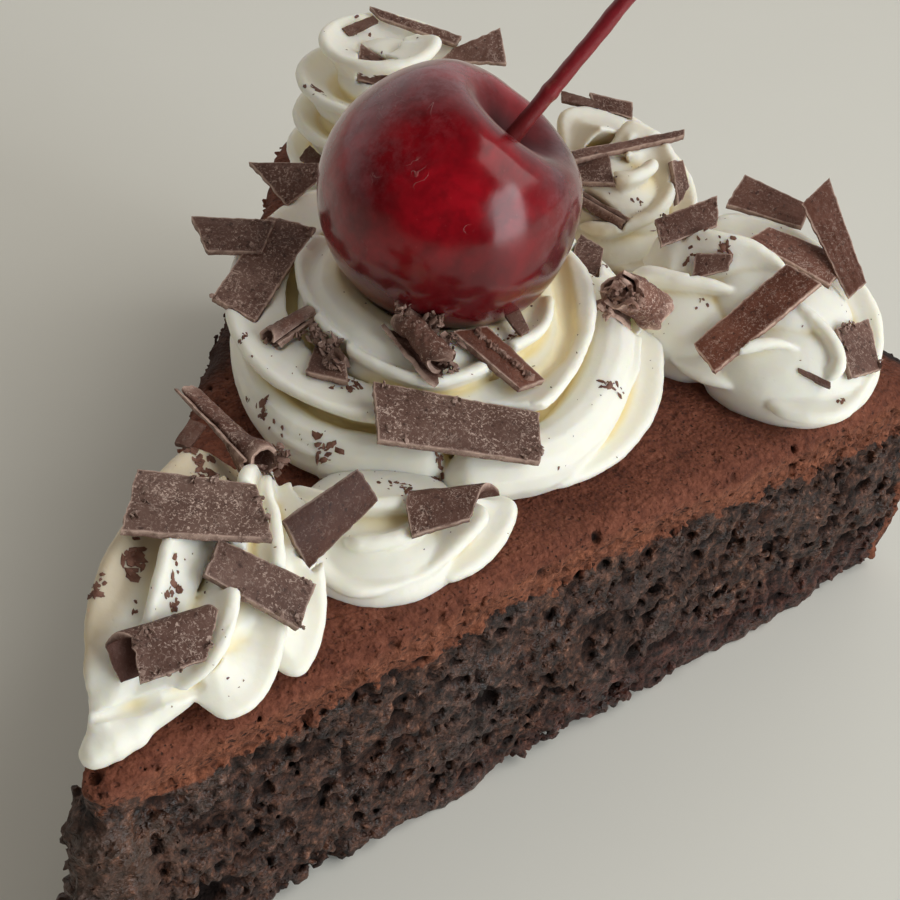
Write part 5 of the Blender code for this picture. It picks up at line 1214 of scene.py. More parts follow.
def outer_shell(pts, tris, quads, keep=0.02):
    """Leaves out closed pockets and loose specks: keeps the connected skin with the most points."""
    n = len(pts)
    parent = np.arange(n)
    edges = np.vstack([quads[:, [0, 1]], quads[:, [1, 2]], quads[:, [2, 3]]] + ([tris[:, [0, 1]], tris[:, [1, 2]]] if len(tris) else []))
    while True:
        low = np.minimum(parent[edges[:, 0]], parent[edges[:, 1]])
        new = parent.copy()
        np.minimum.at(new, parent[edges[:, 0]], low)
        np.minimum.at(new, parent[edges[:, 1]], low)
        new = new[new]
        new = new[new]
        if (new == parent).all():
            break
        parent = new
    labels, count = np.unique(parent, return_counts=True)
    main = labels[np.argmax(count)]
    good = parent == main
    order = np.cumsum(good) - 1
    tris = order[tris[good[tris].all(1)]] if len(tris) else tris
    quads = order[quads[good[quads].all(1)]]
    return pts[good], tris, quads


cream_mat = cream_material()
pieces = []
creams = {}
blob.__defaults__ = (30, 60)                         # the cores of the pipings are rounder here than in the solids
for name in PIPINGS:
    soft, low, raw = cream_field(name, CREAM_CUBE)
    pts, tris, quads = outer_shell(*skin_of(soft, low, CREAM_CUBE))
    obj = mesh_object(name + "_visual", pts, tris, quads, cream_mat)
    obj = fewer(obj, {"cream_rosette_centre": 165000, "cream_rosette_left": 85000}.get(name, 75000))
    pts = points_mm(obj)
    # painted shade: how deep each point lies in a crease, raised near the cherry and along the inner valley, where the
    # cream is painted darker and yellower
    crease_shade = concave(soft, low, CREAM_CUBE, pts)
    by_cherry = np.linalg.norm(pts - np.array(CHERRY_AT), axis=1) - 13.0
    crease_shade = np.maximum(crease_shade, 0.75 * smoothstep(3.2, 0.4, by_cherry))
    if name == "cream_rosette_centre":
        crease_shade = np.maximum(crease_shade, 0.9 * smoothstep(1.3, -0.5, inner_valley(pts)))
    tag(obj, "crease_shade", crease_shade)
    # painted shade: the front shell's far flank and the middle rosette's side facing left in the view are marked for
    # darkening
    if name in ("cream_shell_front", "cream_rosette_middle"):
        tag(obj, "lee_shade", smoothstep(3.3, 5.2, pts[:, 1]) if name == "cream_shell_front" else smoothstep(-0.40, 0.40, normals_of(obj) @ -np.array(right)))
    if name == "cream_rosette_centre":
        # the lower windings keep a little back from the far cut
        away = pts[:, :2] - np.array(ROSE[:2])
        reach = np.linalg.norm(away, axis=1)
        turn = np.degrees(np.arctan2(away[:, 1], away[:, 0]))
        back = 1.9 * np.exp(-((turn - 142) / 24.0) ** 2) * smoothstep(38.0, 35.5, pts[:, 2]) * smoothstep(8.0, 15.0, reach)
        pts[:, :2] -= away / np.maximum(reach, 1e-6)[:, None] * back[:, None]
        set_points_mm(obj, pts)
    creams[name] = obj
    pieces.append((obj, (name,), "whipped_cream"))
    print("cream", name, len(tris) + 2 * len(quads))


# ---- the cherry and its stem
def cherry_material():
    s = Shader("cherry_skin")
    away = s.attribute("cavity")
    mottle = s.noise(150.0, 4, 0.62, 0.4)
    base = s.mix(s.ramp(mottle, [(0.36, 0.0), (0.66, 1.0)]), (0.135, 0.0012, 0.0040), (0.340, 0.0034, 0.0105))
    base = s.mix(s.ramp(s.noise(520.0, 3), [(0.50, 0.0), (0.68, 0.45)]), base, (0.130, 0.0020, 0.0050))
    # painted shade: the base is darkened deep in the stem cavity
    base = s.mix(s.math("MULTIPLY", away, 0.92), base, (0.040, 0.0008, 0.0024))
    # painted shade: darker low down and round to the right
    base = s.mix(s.attribute("shade"), base, (0.052, 0.0012, 0.0032))
    dots = s.ramp(s.cells(900.0), [(0.0, 1.0), (0.10, 0.0)])
    base = s.mix(s.math("MULTIPLY", dots, 0.30), base, (0.36, 0.05, 0.05))
    # painted reflection with some waxy bloom: a mauve-grey veil mixed into the base
    veil_and_bloom = s.ramp(s.noise(800.0, 4, 0.7), [(0.42, 0.0), (0.62, 1.0)])
    base = s.mix(s.math("MULTIPLY", s.math("MULTIPLY", veil_and_bloom, s.attribute("veil_and_bloom")), 0.38), base, (0.30, 0.13, 0.15))
    # hair-fine scratches in a few places
    scratch = s.math("ABSOLUTE", s.math("SUBTRACT", s.noise(420.0, 2, 0.5, 0.8), 0.5))
    scar = s.math("MULTIPLY", s.ramp(scratch, [(0.006, 1.0), (0.018, 0.0)]), s.attribute("scar"))
    base = s.mix(scar, base, (0.40, 0.15, 0.14))
    s.link(base, s.bsdf.inputs["Base Color"])
    s.link(s.mix(s.ramp(away, [(0.0, 0.0), (0.6, 0.8)]), s.ramp(s.noise(420.0, 3, 0.65), [(0.35, 0.15), (0.70, 0.25)]), (0.75, 0.75, 0.75)), s.bsdf.inputs["Roughness"])
    s.link(s.ramp(away, [(0.0, 0.55), (0.5, 0.0)]), s.bsdf.inputs["Coat Weight"])
    s.set(Specular_IOR_Level=0.42, IOR=1.42, Coat_Roughness=0.15, Coat_IOR=1.38, Subsurface_Weight=0.15, Subsurface_Scale=0.0014, Subsurface_Radius=(1.0, 0.10, 0.10), Sheen_Weight=0.035, Sheen_Roughness=0.35, Sheen_Tint=(0.95, 0.78, 0.86, 1.0))
    n = s.bump(s.noise(300.0, 3, 0.5), 0.00010, 0.30)
    n = s.bump(s.noise(1500.0, 2), 0.00003, 0.30, n)
    n = s.bump(scar, 0.0002, 0.6, n)
    s.link(n, s.bsdf.inputs["Normal"])
    return s.material


def stem_material():
    s = Shader("cherry_stem")
    along = s.attribute("along")
    streak = s.noise(260.0, 4, 0.6)
    base = s.ramp(along, [(0.0, (0.14, 0.020, 0.017)), (0.16, (0.24, 0.012, 0.018)), (0.55, (0.33, 0.012, 0.024)), (0.85, (0.40, 0.050, 0.055)), (1.0, (0.22, 0.075, 0.035))])
    base = s.mix(s.ramp(streak, [(0.35, 0.40), (0.60, 0.0)]), base, (0.085, 0.006, 0.009))
    base = s.mix(s.ramp(s.noise(900.0, 3), [(0.60, 0.0), (0.74, 0.5)]), base, (0.30, 0.11, 0.070))
    s.link(base, s.bsdf.inputs["Base Color"])
    s.set(Roughness=0.34, Specular_IOR_Level=0.5, Coat_Weight=0.2, Coat_Roughness=0.2)
    n = s.bump(s.noise(700.0, 4), 0.00012, 0.5)
    s.link(n, s.bsdf.inputs["Normal"])
    return s.material


# places with fine pale scratches: middle across and up, and half width
SCARS = [(-1.1, 6.9, 0.8, 0.8), (-3.1, 1.2, 0.7, 0.9), (-2.6, -0.2, 0.8, 0.8), (-8.5, -6.0, 0.5, 0.9), (-11.2, -9.2, 0.4, 0.9), (-5.9, 8.4, 1.5, 0.6), (-7.4, 6.6, 1.2, 0.5), (1.6, -4.6, 0.4, 0.4), (-7.1, 0.2, 0.6, 0.6)]
verts, faces = cherry_mesh(160, 240)
skin = Noise(23)
centre = np.array(CHERRY_AT)
out = verts - centre
dist = np.linalg.norm(out, axis=1)
out /= dist[:, None]
axis = np.array(CHERRY_AXIS) / np.linalg.norm(CHERRY_AXIS)
lat = np.arcsin(np.clip(out @ axis, -1, 1))
open_skin = 1 - smoothstep(1.0, 1.3, lat)
verts = verts + out * (0.11 * skin(verts, 6.0) + 0.045 * skin(verts, 2.2) * open_skin)[:, None]
cherry = mesh_from_parts("cherry_visual", [(verts, faces)], cherry_material())
# the stem cavity: rougher, without coat, and darkened as painted shade
tag(cherry, "cavity", smoothstep(0.95, 1.35, lat))
screen_x, screen_y = np.array(right), np.array(up)
rel = verts - centre
u, v = rel @ screen_x, rel @ screen_y
front = (rel @ np.array(forward)) < 0
mark = np.zeros(len(verts))
for sx, sy, reach, strength in SCARS:
    d = np.hypot(u - sx, v - sy)
    mark = np.maximum(mark, np.where(front, strength * (1 - smoothstep(0.6 * reach, 1.5 * reach, d)), 0))
tag(cherry, "scar", mark * 0.7)
# painted shade: the skin darker low down and round to the right, as seen from the camera
tag(cherry, "shade", np.clip(0.75 * smoothstep(6.5, 12.0, u + 1.2 * skin(verts + 5, 4.0)) + 0.60 * smoothstep(2.0, 11.0, -v + 1.5 * skin(verts + 9, 4.0)), 0, 0.9))
# painted reflection with some waxy bloom: a mauve-grey veil of the pale room at the skin's left and top, and a little
# at its right, as seen from the camera
tag(cherry, "veil_and_bloom", np.clip(smoothstep(0.5, 11.0, -u * 0.75 + v * 0.75) * (0.5 + 0.5 * smoothstep(-0.2, 0.4, skin(verts, 3.0))) + 0.5 * smoothstep(7.0, 12.0, u), 0, 1))
pieces.append((cherry, ("cherry",), "cherry_skin"))

stem_noise = Noise(29)
line = stem_line(0.35)
verts, faces = tube(line, stem_radius, 24)
t = np.repeat(np.arange(len(line)) / (len(line) - 1), 24)
t = np.concatenate([t, [0, 1]])
mid = np.vstack([np.repeat(line, 24, axis=0), line[0], line[-1]])
rad = verts - mid
length = np.maximum(np.linalg.norm(rad, axis=1), 1e-6)
bulge = 0.06 * stem_noise(verts, 3.6) + 0.05 * stem_noise(verts, 0.9) + 0.13 * np.exp(-((t - 0.17) / 0.012) ** 2)
flare = np.where(t > 0.985, 0.12 * stem_noise(verts * 3, 1.3), 0)
verts = verts + rad / length[:, None] * np.where(length > 0.05, bulge + flare, 0)[:, None]
stem = mesh_from_parts("cherry_stem_visual", [(verts, faces)], stem_material())
tag(stem, "along", t)
pieces.append((stem, ("cherry_stem",), "cherry_stem"))


# ---- the sponge: crust on top and on the baked side, open crumb on the cut sides
def sponge_material():
    s = Shader("chocolate_sponge")
    crust = s.attribute("crust")
    band = s.attribute("band")
    pit = s.attribute("pit")
    rim = s.attribute("rim")
    moist = s.attribute("moist")
    # crumb
    a = s.noise(1250.0, 4, 0.66)
    b = s.noise(170.0, 3, 0.6)
    grey_sheen = s.noise(95.0, 2, 0.55)
    crumb = s.ramp(a, [(0.30, (0.0091, 0.0033, 0.0022)), (0.44, (0.0302, 0.0120, 0.0074)), (0.58, (0.0726, 0.0307, 0.0183)), (0.76, (0.2357, 0.1133, 0.0705))])
    crumb = s.mix(s.ramp(b, [(0.40, 0.0), (0.62, 0.6)]), crumb, s.ramp(a, [(0.30, (0.0076, 0.0023, 0.0015)), (0.55, (0.0393, 0.0131, 0.0074)), (0.78, (0.1370, 0.0534, 0.0317))]))
    # painted sheen: greyer patches stand in for the grey sheen of the moist crumb
    crumb = s.mix(s.ramp(grey_sheen, [(0.54, 0.0), (0.66, 0.45)]), crumb, s.ramp(a, [(0.35, (0.0091, 0.0050, 0.0042)), (0.70, (0.0932, 0.0582, 0.0490))]))
    crumb = s.mix(s.ramp(moist, [(0.35, 0.0), (0.9, 0.7)]), crumb, s.ramp(a, [(0.35, (0.0140, 0.0034, 0.0025)), (0.70, (0.0840, 0.0248, 0.0167))]))
    # the brown zone under the crust, which breaks up into the crumb in specks
    c = s.noise(1500.0, 4, 0.62)
    brown = s.ramp(c, [(0.30, (0.052, 0.0140, 0.0070)), (0.42, (0.155, 0.048, 0.023)), (0.60, (0.262, 0.086, 0.043)), (0.78, (0.40, 0.165, 0.098))])
    brown = s.mix(s.ramp(s.noise(260.0, 3, 0.6), [(0.42, 0.0), (0.64, 0.5)]), brown, (0.170, 0.056, 0.032))
    contrast = s.ramp(s.noise(640.0, 5, 0.72), [(0.38, 0.16), (0.50, 1.2), (0.66, 2.45)])
    crumb = s.mix(0.85, crumb, contrast, "MULTIPLY")
    speck = s.math("ADD", s.math("MULTIPLY", s.noise(700.0, 5, 0.72), 1.8), -0.90)
    edge = s.ramp(s.math("ADD", band, speck), [(0.42, 0.0), (0.58, 1.0)])
    # the crust's own skin
    d = s.math("ADD", s.math("MULTIPLY", s.noise(1300.0, 4, 0.62), 0.62), s.math("MULTIPLY", s.noise(230.0, 3, 0.6), 0.38))
    top = s.ramp(d, [(0.32, (0.0698, 0.0175, 0.0092)), (0.46, (0.1395, 0.0386, 0.0198)), (0.58, (0.1953, 0.0589, 0.0317)), (0.74, (0.2883, 0.1104, 0.0662))])
    colour = s.mix(edge, crumb, brown)
    flat_way = s.node("ShaderNodeVectorMath", {"operation": "MULTIPLY"})
    s.link(s.coords, flat_way.inputs[0])
    flat_way.inputs[1].default_value = (1.0, 1.0, 2.6)
    # painted shade: small dark pinholes in the brown band, the shade inside pores
    pits = s.math("MULTIPLY", s.ramp(s.cells(760.0, vector=flat_way.outputs[0]), [(0.14, 0.9), (0.30, 0.0)]), s.ramp(s.noise(230.0, 3), [(0.40, 0.0), (0.56, 1.0)]))
    colour = s.mix(s.math("MULTIPLY", pits, edge), colour, (0.030, 0.0085, 0.0050))
    colour = s.mix(crust, colour, top)
    # the baked side's own dark colour, also used for a painted shade patch on the top near the left cut
    baked = s.ramp(s.noise(430.0, 4, 0.7), [(0.34, (0.010, 0.0048, 0.0040)), (0.52, (0.024, 0.0105, 0.0080)), (0.72, (0.070, 0.029, 0.018))])
    colour = s.mix(rim, colour, baked)
    # painted shade and light: darker where the surface lies in a hollow, lighter on grains that stand out
    dark = s.ramp(pit, [(0.0, 0.0), (0.5, 0.0), (0.66, 0.35), (0.85, 0.95)])
    colour = s.mix(dark, colour, (0.0085, 0.0038, 0.0030))
    light = s.ramp(pit, [(0.0, 0.35), (0.44, 0.0), (1.0, 0.0)])
    colour = s.mix(light, colour, (0.125, 0.072, 0.050))
    # painted shade: small dark holes in the crumb, the shade in pores
    holes = s.ramp(s.cells(1500.0), [(0.10, 0.9), (0.22, 0.0)])
    sparse = s.ramp(s.noise(330.0, 3), [(0.46, 0.0), (0.58, 1.0)])
    colour = s.mix(s.math("MULTIPLY", holes, sparse), colour, (0.014, 0.0055, 0.0040))
    s.link(colour, s.bsdf.inputs["Base Color"])
    wet = s.ramp(s.noise(160.0, 2, 0.65), [(0.40, 0.70), (0.60, 0.30)])
    dry = s.mix(edge, wet, (0.9, 0.9, 0.9))
    dry = s.mix(crust, dry, (0.88, 0.88, 0.88))
    s.link(s.mix(s.ramp(pit, [(0.50, 0.0), (0.72, 1.0)]), dry, (1.0, 1.0, 1.0)), s.bsdf.inputs["Roughness"])
    s.set(Specular_IOR_Level=0.36)
    streak = s.noise(520.0, 3, 0.6, 0.0, flat_way.outputs[0])
    grain = s.math("ADD", s.math("MULTIPLY", a, 0.6), s.math("MULTIPLY", s.cells(2200.0), 0.4))
    n = s.bump(grain, 0.00042, 0.9)
    n = s.bump(s.math("SUBTRACT", streak, s.math("MULTIPLY", pits, 0.5)), 0.00060, 0.9, n)
    n = s.bump(s.ramp(s.cells(1500.0), [(0.0, 0.0), (0.24, 1.0)]), 0.00024, 0.7, n)
    s.link(n, s.bsdf.inputs["Normal"])
    return s.material


SPONGE_CUBE = 0.31
rng = np.random.default_rng(5)
f, low = field_of([sponge_mesh(60, 40, 8, 8)], SPONGE_CUBE, 5.0, pad=3.0)
plain = f.copy()
x, y, z = points_of(f.shape, low, SPONGE_CUBE)
half = APEX / 2
down = top_z(x, y) - z                               # depth under the top
wall = CAKE_R - np.hypot(x, y)                       # depth behind the baked side
near = np.argwhere(np.abs(f) < 3.0)
where3 = tuple(near.T)
p = ((near + low) * SPONGE_CUBE).astype(np.float32)
big, mid, fine = Noise(41), Noise(42), Noise(43)
d_top = top_z(p[:, 0], p[:, 1]) - p[:, 2]
d_wall = CAKE_R - np.hypot(p[:, 0], p[:, 1])
ragged = 0.8 * big(p, 5.0) + 0.7 * mid(p, 1.9) + 0.5 * fine(p, 0.8)
depth_band = 5.4 - 3.2 * smoothstep(9.5, 3.5, p[:, 0]) + 1.1 * big(p * (1, 1, 0) + 7, 16.0) + ragged
outer = np.minimum(d_top, d_wall + 2.2)
in_crust = 1 - smoothstep(1.0, 2.4, outer)
in_band = 1 - smoothstep(depth_band - 1.8, depth_band + 1.2, outer)
fringe = smoothstep(2.0, 0.4, p[:, 2]) * (1 - smoothstep(0.5, 2.0, 3.0 - p[:, 2]))
def tip_push(p, d_top):
    """The slice is fuller round its tip, most of all lower down."""
    return (0.35 * smoothstep(16.0, 5.0, p[:, 0]) + 1.45 * smoothstep(9.5, 3.5, p[:, 0])) * (0.30 + 0.70 * smoothstep(2.5, 8.0, d_top)) * smoothstep(0.3, 1.5, d_top)


rough_crumb = 0.50 * big(p, 3.6) + 0.56 * mid(p, 1.6) + 0.30 * fine(p, 0.8) - 0.45
rough_band = 0.18 * big(p, 3.0) + 0.16 * mid(p, 1.2) + 0.16 * fine(p, 0.65) - 0.12
rough_crust = 0.20 * big(p, 6.0) + 0.10 * mid(p, 2.0) + 0.09 * fine(p, 0.7)
rough_crust = rough_crust + (1 - smoothstep(1.0, 2.2, d_wall)) * (0.22 * mid(p, 1.5) + 0.16 * fine(p, 0.7))
relief = rough_crumb * (1 - in_band) + rough_band * in_band
relief = relief * (1 - in_crust) + rough_crust * in_crust
relief = relief + tip_push(p, d_top)
low_edge = (1 - smoothstep(0.8, 3.2, p[:, 2])) * (1.35 * big(p * (1, 1, 0.3), 7.0) + 0.45 * mid(p * (1, 1, 0.5), 2.6) - 0.1)
f[where3] -= (relief + low_edge).astype(np.float32)


def stamp(f, centre, radii, turn, dig, soft=0.25):
    """Digs an ellipsoid out of the field, or adds one."""
    reach = max(radii) + 1.2
    c = np.asarray(centre)
    i0 = np.maximum(np.floor((c - reach) / SPONGE_CUBE).astype(int) - low, 0)
    i1 = np.minimum(np.ceil((c + reach) / SPONGE_CUBE).astype(int) - low + 1, f.shape)
    if (i1 <= i0).any():
        return
    g = np.stack(np.meshgrid(*[(np.arange(i0[k], i1[k]) + low[k]) * SPONGE_CUBE - c[k] for k in range(3)], indexing="ij"), -1) @ turn
    q = np.linalg.norm(g / np.asarray(radii), axis=-1)
    sd = ((q - 1) * min(radii)).astype(np.float32)
    view = f[i0[0]:i1[0], i0[1]:i1[1], i0[2]:i1[2]]
    if dig:
        np.maximum(view, -sd, out=view)
    else:
        np.minimum(view, sd, out=view)


def random_turn(rng):
    q, _ = np.linalg.qr(rng.normal(size=(3, 3)))
    return q


# bubbles opened in the brown band under the top and in the skin of the top and baked side: many small ones, fewer wide
# ones
skin_cells = near[np.abs(plain[where3]) < SPONGE_CUBE * 0.6]
skin_pts = (skin_cells + low) * SPONGE_CUBE
s_top = top_z(skin_pts[:, 0], skin_pts[:, 1]) - skin_pts[:, 2]
s_wall = CAKE_R - np.hypot(skin_pts[:, 0], skin_pts[:, 1])
on_cut = (s_top > 5.4) & (s_wall > 2.5) & (skin_pts[:, 2] > 1.5)
on_band = (s_top > 0.8) & (s_top <= 6.2) & (s_wall > 1.5)
on_skin = (s_top <= 0.8) | (s_wall <= 1.5)
for pool, count, small, wide, share in ((skin_pts[on_band], 1300, 0.24, 0.50, 0.05), (skin_pts[on_skin & (skin_pts[:, 2] > 1)], 1300, 0.20, 0.36, 0.02)):
    chosen = pool[rng.integers(0, len(pool), count)] + rng.normal(0, 0.25, (count, 3))
    for c in chosen:
        r = small * (0.7 + 0.9 * rng.random() ** 2)
        if rng.random() < share:
            r = wide * (0.7 + 0.9 * rng.random())
        stamp(f, c, r * np.array([1 + 0.7 * rng.random(), 0.9, 0.8]), random_turn(rng), True)
# the crumb itself: rounded grains of many sizes packed over the rough core, with gaps where bubbles were
clump, gaps = Noise(51), Noise(52)
pool = skin_pts[on_cut]
count = 21000
chosen = pool[rng.integers(0, len(pool), count)]
normal_in = np.stack([np.zeros(count), -np.sign(chosen[:, 1]), np.zeros(count)], 1)
sink = rng.random(count)
chosen = chosen + normal_in * (-0.05 + 0.75 * sink)[:, None] + rng.normal(0, 0.12, (count, 3))
depth = top_z(chosen[:, 0], chosen[:, 1]) - chosen[:, 2]
outward = np.stack([chosen[:, 0] - 9.5, chosen[:, 1] * 1.6], 1)
chosen[:, :2] += outward / np.maximum(np.linalg.norm(outward, axis=1), 0.5)[:, None] * tip_push(chosen, depth)[:, None] * 0.9
closed = gaps(chosen * (1, 1, 1.35), 2.3) + 0.55 * clump(chosen, 1.1)
size = 0.26 + 0.34 * rng.random(count) ** 2.2
for k in np.nonzero(closed > -0.30)[0]:
    stamp(f, chosen[k], size[k] * np.array([1 + 0.5 * rng.random(), 1.0, 0.75 + 0.25 * rng.random()]), random_turn(rng), False)
# the fuller tip has grains of its own, laid on its surface
cells = np.argwhere(np.abs(f[:int(15.0 / SPONGE_CUBE) - low[0]]) < SPONGE_CUBE * 0.6)
tip_pts = (cells + low) * SPONGE_CUBE
tip_pts = tip_pts[(top_z(tip_pts[:, 0], tip_pts[:, 1]) - tip_pts[:, 2] > 5.2) & (tip_pts[:, 2] > 0.8)]
chosen = tip_pts[rng.integers(0, len(tip_pts), 1700)] + rng.normal(0, 0.16, (1700, 3))
open_here = gaps(chosen * (1, 1, 1.35), 2.3) + 0.55 * clump(chosen, 1.1)
size = 0.24 + 0.34 * rng.random(1700) ** 2.0
for k in np.nonzero(open_here > -0.25)[0]:
    stamp(f, chosen[k], size[k] * np.array([1 + 0.5 * rng.random(), 1.0, 0.75 + 0.25 * rng.random()]), random_turn(rng), False)
# a few bubbles cut open
chosen = pool[rng.integers(0, len(pool), 520)]
for c in chosen:
    r = 0.42 * (0.7 + 1.6 * rng.random() ** 2.2)
    stamp(f, c, r * np.array([1.3 + 0.9 * rng.random(), 0.9, 0.65]), rotation((rng.normal(0, 16), rng.normal(0, 16), math.degrees(half) * -np.sign(c[1]))), True)
pool = skin_pts[on_band]
chosen = pool[rng.integers(0, len(pool), 1500)] + rng.normal(0, 0.15, (1500, 3))
for c in chosen:
    stamp(f, c, (0.20 + 0.16 * rng.random()) * np.array([1.2, 1, 0.8]), random_turn(rng), False)


def on_right_cut(s, z, inside=0.0):
    """Point on the right cut side, s along it from the tip, z up, and how far inside."""
    return np.array([s * math.cos(half) + inside * math.sin(half), -s * math.sin(half) + inside * math.cos(half), z])


# tears in the right cut side: place along it, height, half sizes along, up and in, tilt
TEARS = [(8.5, 24.5, 2.2, 0.7, 1.1, -35), (6.0, 21.0, 1.3, 0.6, 0.9, 20), (16.5, 24.6, 0.8, 0.7, 0.9, 0), (17.2, 22.2, 0.5, 1.3, 1.0, 0), (29.0, 17.5, 0.45, 3.0, 0.9, 12), (11.0, 8.5, 3.8, 2.4, 2.6, 10),
         (22.0, 12.0, 1.2, 0.8, 1.0, 30), (34.0, 11.0, 1.5, 0.7, 1.0, -20), (46.0, 15.0, 1.6, 0.8, 1.1, 10), (57.0, 10.5, 1.3, 0.9, 1.1, -15), (63.0, 17.0, 1.1, 0.7, 0.9, 25), (73.0, 8.0, 1.4, 0.9, 1.1, 5),
         (80.0, 13.5, 1.5, 0.8, 1.2, -10), (89.0, 9.0, 1.2, 0.9, 1.0, 15), (96.0, 13.0, 1.3, 0.9, 1.1, 0), (101.0, 17.0, 1.1, 0.8, 1.0, 20), (104.5, 9.0, 1.5, 1.2, 1.2, 0)]
for s0, z0, a, b, c, tilt in TEARS:
    m = rotation((0, 0, -math.degrees(half))) @ rotation((0, -tilt, 0))
    stamp(f, on_right_cut(s0, z0), (a, c, b), m, True)
    stamp(f, on_right_cut(s0 + a * 0.6, z0 - b * 0.5), (a * 0.6, c * 0.9, b * 0.7), m, True)
f = blur(f, 0.42)
np.maximum(f, -z - 0.0, out=f)                       # it stands flat on its base
pts, tris, quads = outer_shell(*skin_of(f, low, SPONGE_CUBE))
sponge = mesh_object("sponge_visual", pts, tris, quads, sponge_material())
print("sponge before", len(tris) + 2 * len(quads))
fewer(sponge, 190000)
pts = points_mm(sponge)
d_top = top_z(pts[:, 0], pts[:, 1]) - pts[:, 2]
d_wall = CAKE_R - np.hypot(pts[:, 0], pts[:, 1])
ragged = 0.8 * big(pts, 5.0) + 0.7 * mid(pts, 1.9) + 0.5 * fine(pts, 0.8)
depth_band = 5.4 - 3.2 * smoothstep(9.5, 3.5, pts[:, 0]) + 1.1 * big(pts * (1, 1, 0) + 7, 16.0) + ragged
outer = np.minimum(d_top, d_wall + 2.2)
tag(sponge, "crust", 1 - smoothstep(0.9, 2.0, outer + 0.35 * fine(pts, 1.4)))
tag(sponge, "band", 1 - smoothstep(depth_band - 1.6, depth_band + 1.6, outer))
burnt = 1 - smoothstep(1.2, 3.6, d_wall + 0.7 * mid(pts, 2.5))
# painted shade: a dark patch on the top near the left cut edge, given the baked side's colour
shade_strip = np.exp(-((pts[:, 0] - 58.0) / 10.0) ** 2) * smoothstep(19.0, 22.5, pts[:, 1] + 0.8 * mid(pts, 3.0)) * smoothstep(7.0, 3.0, d_top)
tag(sponge, "rim", np.maximum(burnt, 0.85 * shade_strip))
# painted shade and light: how deep each point lies in a hollow, which the material darkens, lighter where grains stand
# out
inside = read_field(plain, low, SPONGE_CUBE, pts, 0.0)
tag(sponge, "pit", np.clip(0.5 - inside * 0.40, 0, 1))
tag(sponge, "moist", smoothstep(14.0, 3.0, pts[:, 2] + 3 * big(pts, 9.0)) * smoothstep(20, 60, pts[:, 0]))
pieces.append((sponge, ("sponge",), "chocolate_sponge"))


# ---- chocolate: scraped slabs, folds and curls
def chocolate_material():
    s = Shader("dark_chocolate")
    edge = s.attribute("edge")
    red = s.attribute("red")
    gloss = s.attribute("gloss")
    broad = s.noise(170.0, 4, 0.6)
    base = s.ramp(broad, [(0.30, (0.078, 0.038, 0.028)), (0.52, (0.112, 0.062, 0.048)), (0.75, (0.160, 0.098, 0.078))])
    warm = s.ramp(broad, [(0.30, (0.066, 0.020, 0.011)), (0.55, (0.105, 0.034, 0.020)), (0.80, (0.165, 0.064, 0.040))])
    colour = s.mix(red, base, warm)
    # pale flecks and short worm-like scratches on the scraped faces
    worm = s.math("ABSOLUTE", s.math("SUBTRACT", s.noise(620.0, 3, 0.6, 1.2), 0.5))
    worm = s.math("MULTIPLY", s.ramp(worm, [(0.007, 1.0), (0.020, 0.0)]), s.ramp(s.noise(520.0, 2), [(0.50, 0.0), (0.58, 1.0)]))
    fleck = s.math("MAXIMUM", s.ramp(s.noise(3300.0, 3, 0.72, 0.6), [(0.56, 0.0), (0.63, 1.0)]), s.ramp(s.noise(1900.0, 3, 0.75, 1.0), [(0.62, 0.0), (0.67, 1.0)]))
    marks = s.math("MAXIMUM", s.math("MULTIPLY", worm, 0.85), fleck)
    patch = s.ramp(s.noise(300.0, 3, 0.5), [(0.38, 0.35), (0.54, 1.0)])
    amount = s.math("MULTIPLY", s.math("MULTIPLY", marks, patch), s.attribute("flecks"))
    colour = s.mix(amount, colour, (0.50, 0.37, 0.31))
    colour = s.mix(s.ramp(s.noise(1700.0, 3, 0.6), [(0.30, 0.80), (0.42, 0.0)]), colour, (0.034, 0.013, 0.009))
    # paler edges: partly the broken edges' own colour, partly a painted highlight along them
    rim = s.math("MULTIPLY", edge, s.ramp(s.noise(900.0, 3), [(0.34, 0.25), (0.54, 1.0)]))
    colour = s.mix(s.math("MULTIPLY", rim, 0.92), colour, (0.47, 0.33, 0.27))
    # painted shade: the bent-back part of a fold and the inner side of a roll are darkened
    colour = s.mix(s.attribute("core"), colour, (0.062, 0.019, 0.012))
    colour = s.mix(s.attribute("pale"), colour, s.ramp(s.noise(900.0, 3), [(0.35, (0.115, 0.040, 0.022)), (0.65, (0.27, 0.125, 0.085))]))
    # painted light and shade: each piece's colour is scaled by its own factor
    colour = s.mix(1.0, colour, s.attribute("painted_tone"), "MULTIPLY")
    s.link(colour, s.bsdf.inputs["Base Color"])
    low = s.ramp(gloss, [(0.0, 0.62), (1.0, 0.36)])
    s.link(low, s.bsdf.inputs["Roughness"])
    s.set(Specular_IOR_Level=0.30)
    height = s.math("ADD", s.noise(800.0, 4, 0.68), s.math("MULTIPLY", worm, -0.25))
    n = s.bump(height, 0.00020, 0.7)
    n = s.bump(s.noise(2600.0, 2), 0.00006, 0.5, n)
    s.link(n, s.bsdf.inputs["Normal"])
    return s.material


chocolate = chocolate_material()
choc_noise, chip_noise = Noise(61), Noise(62)
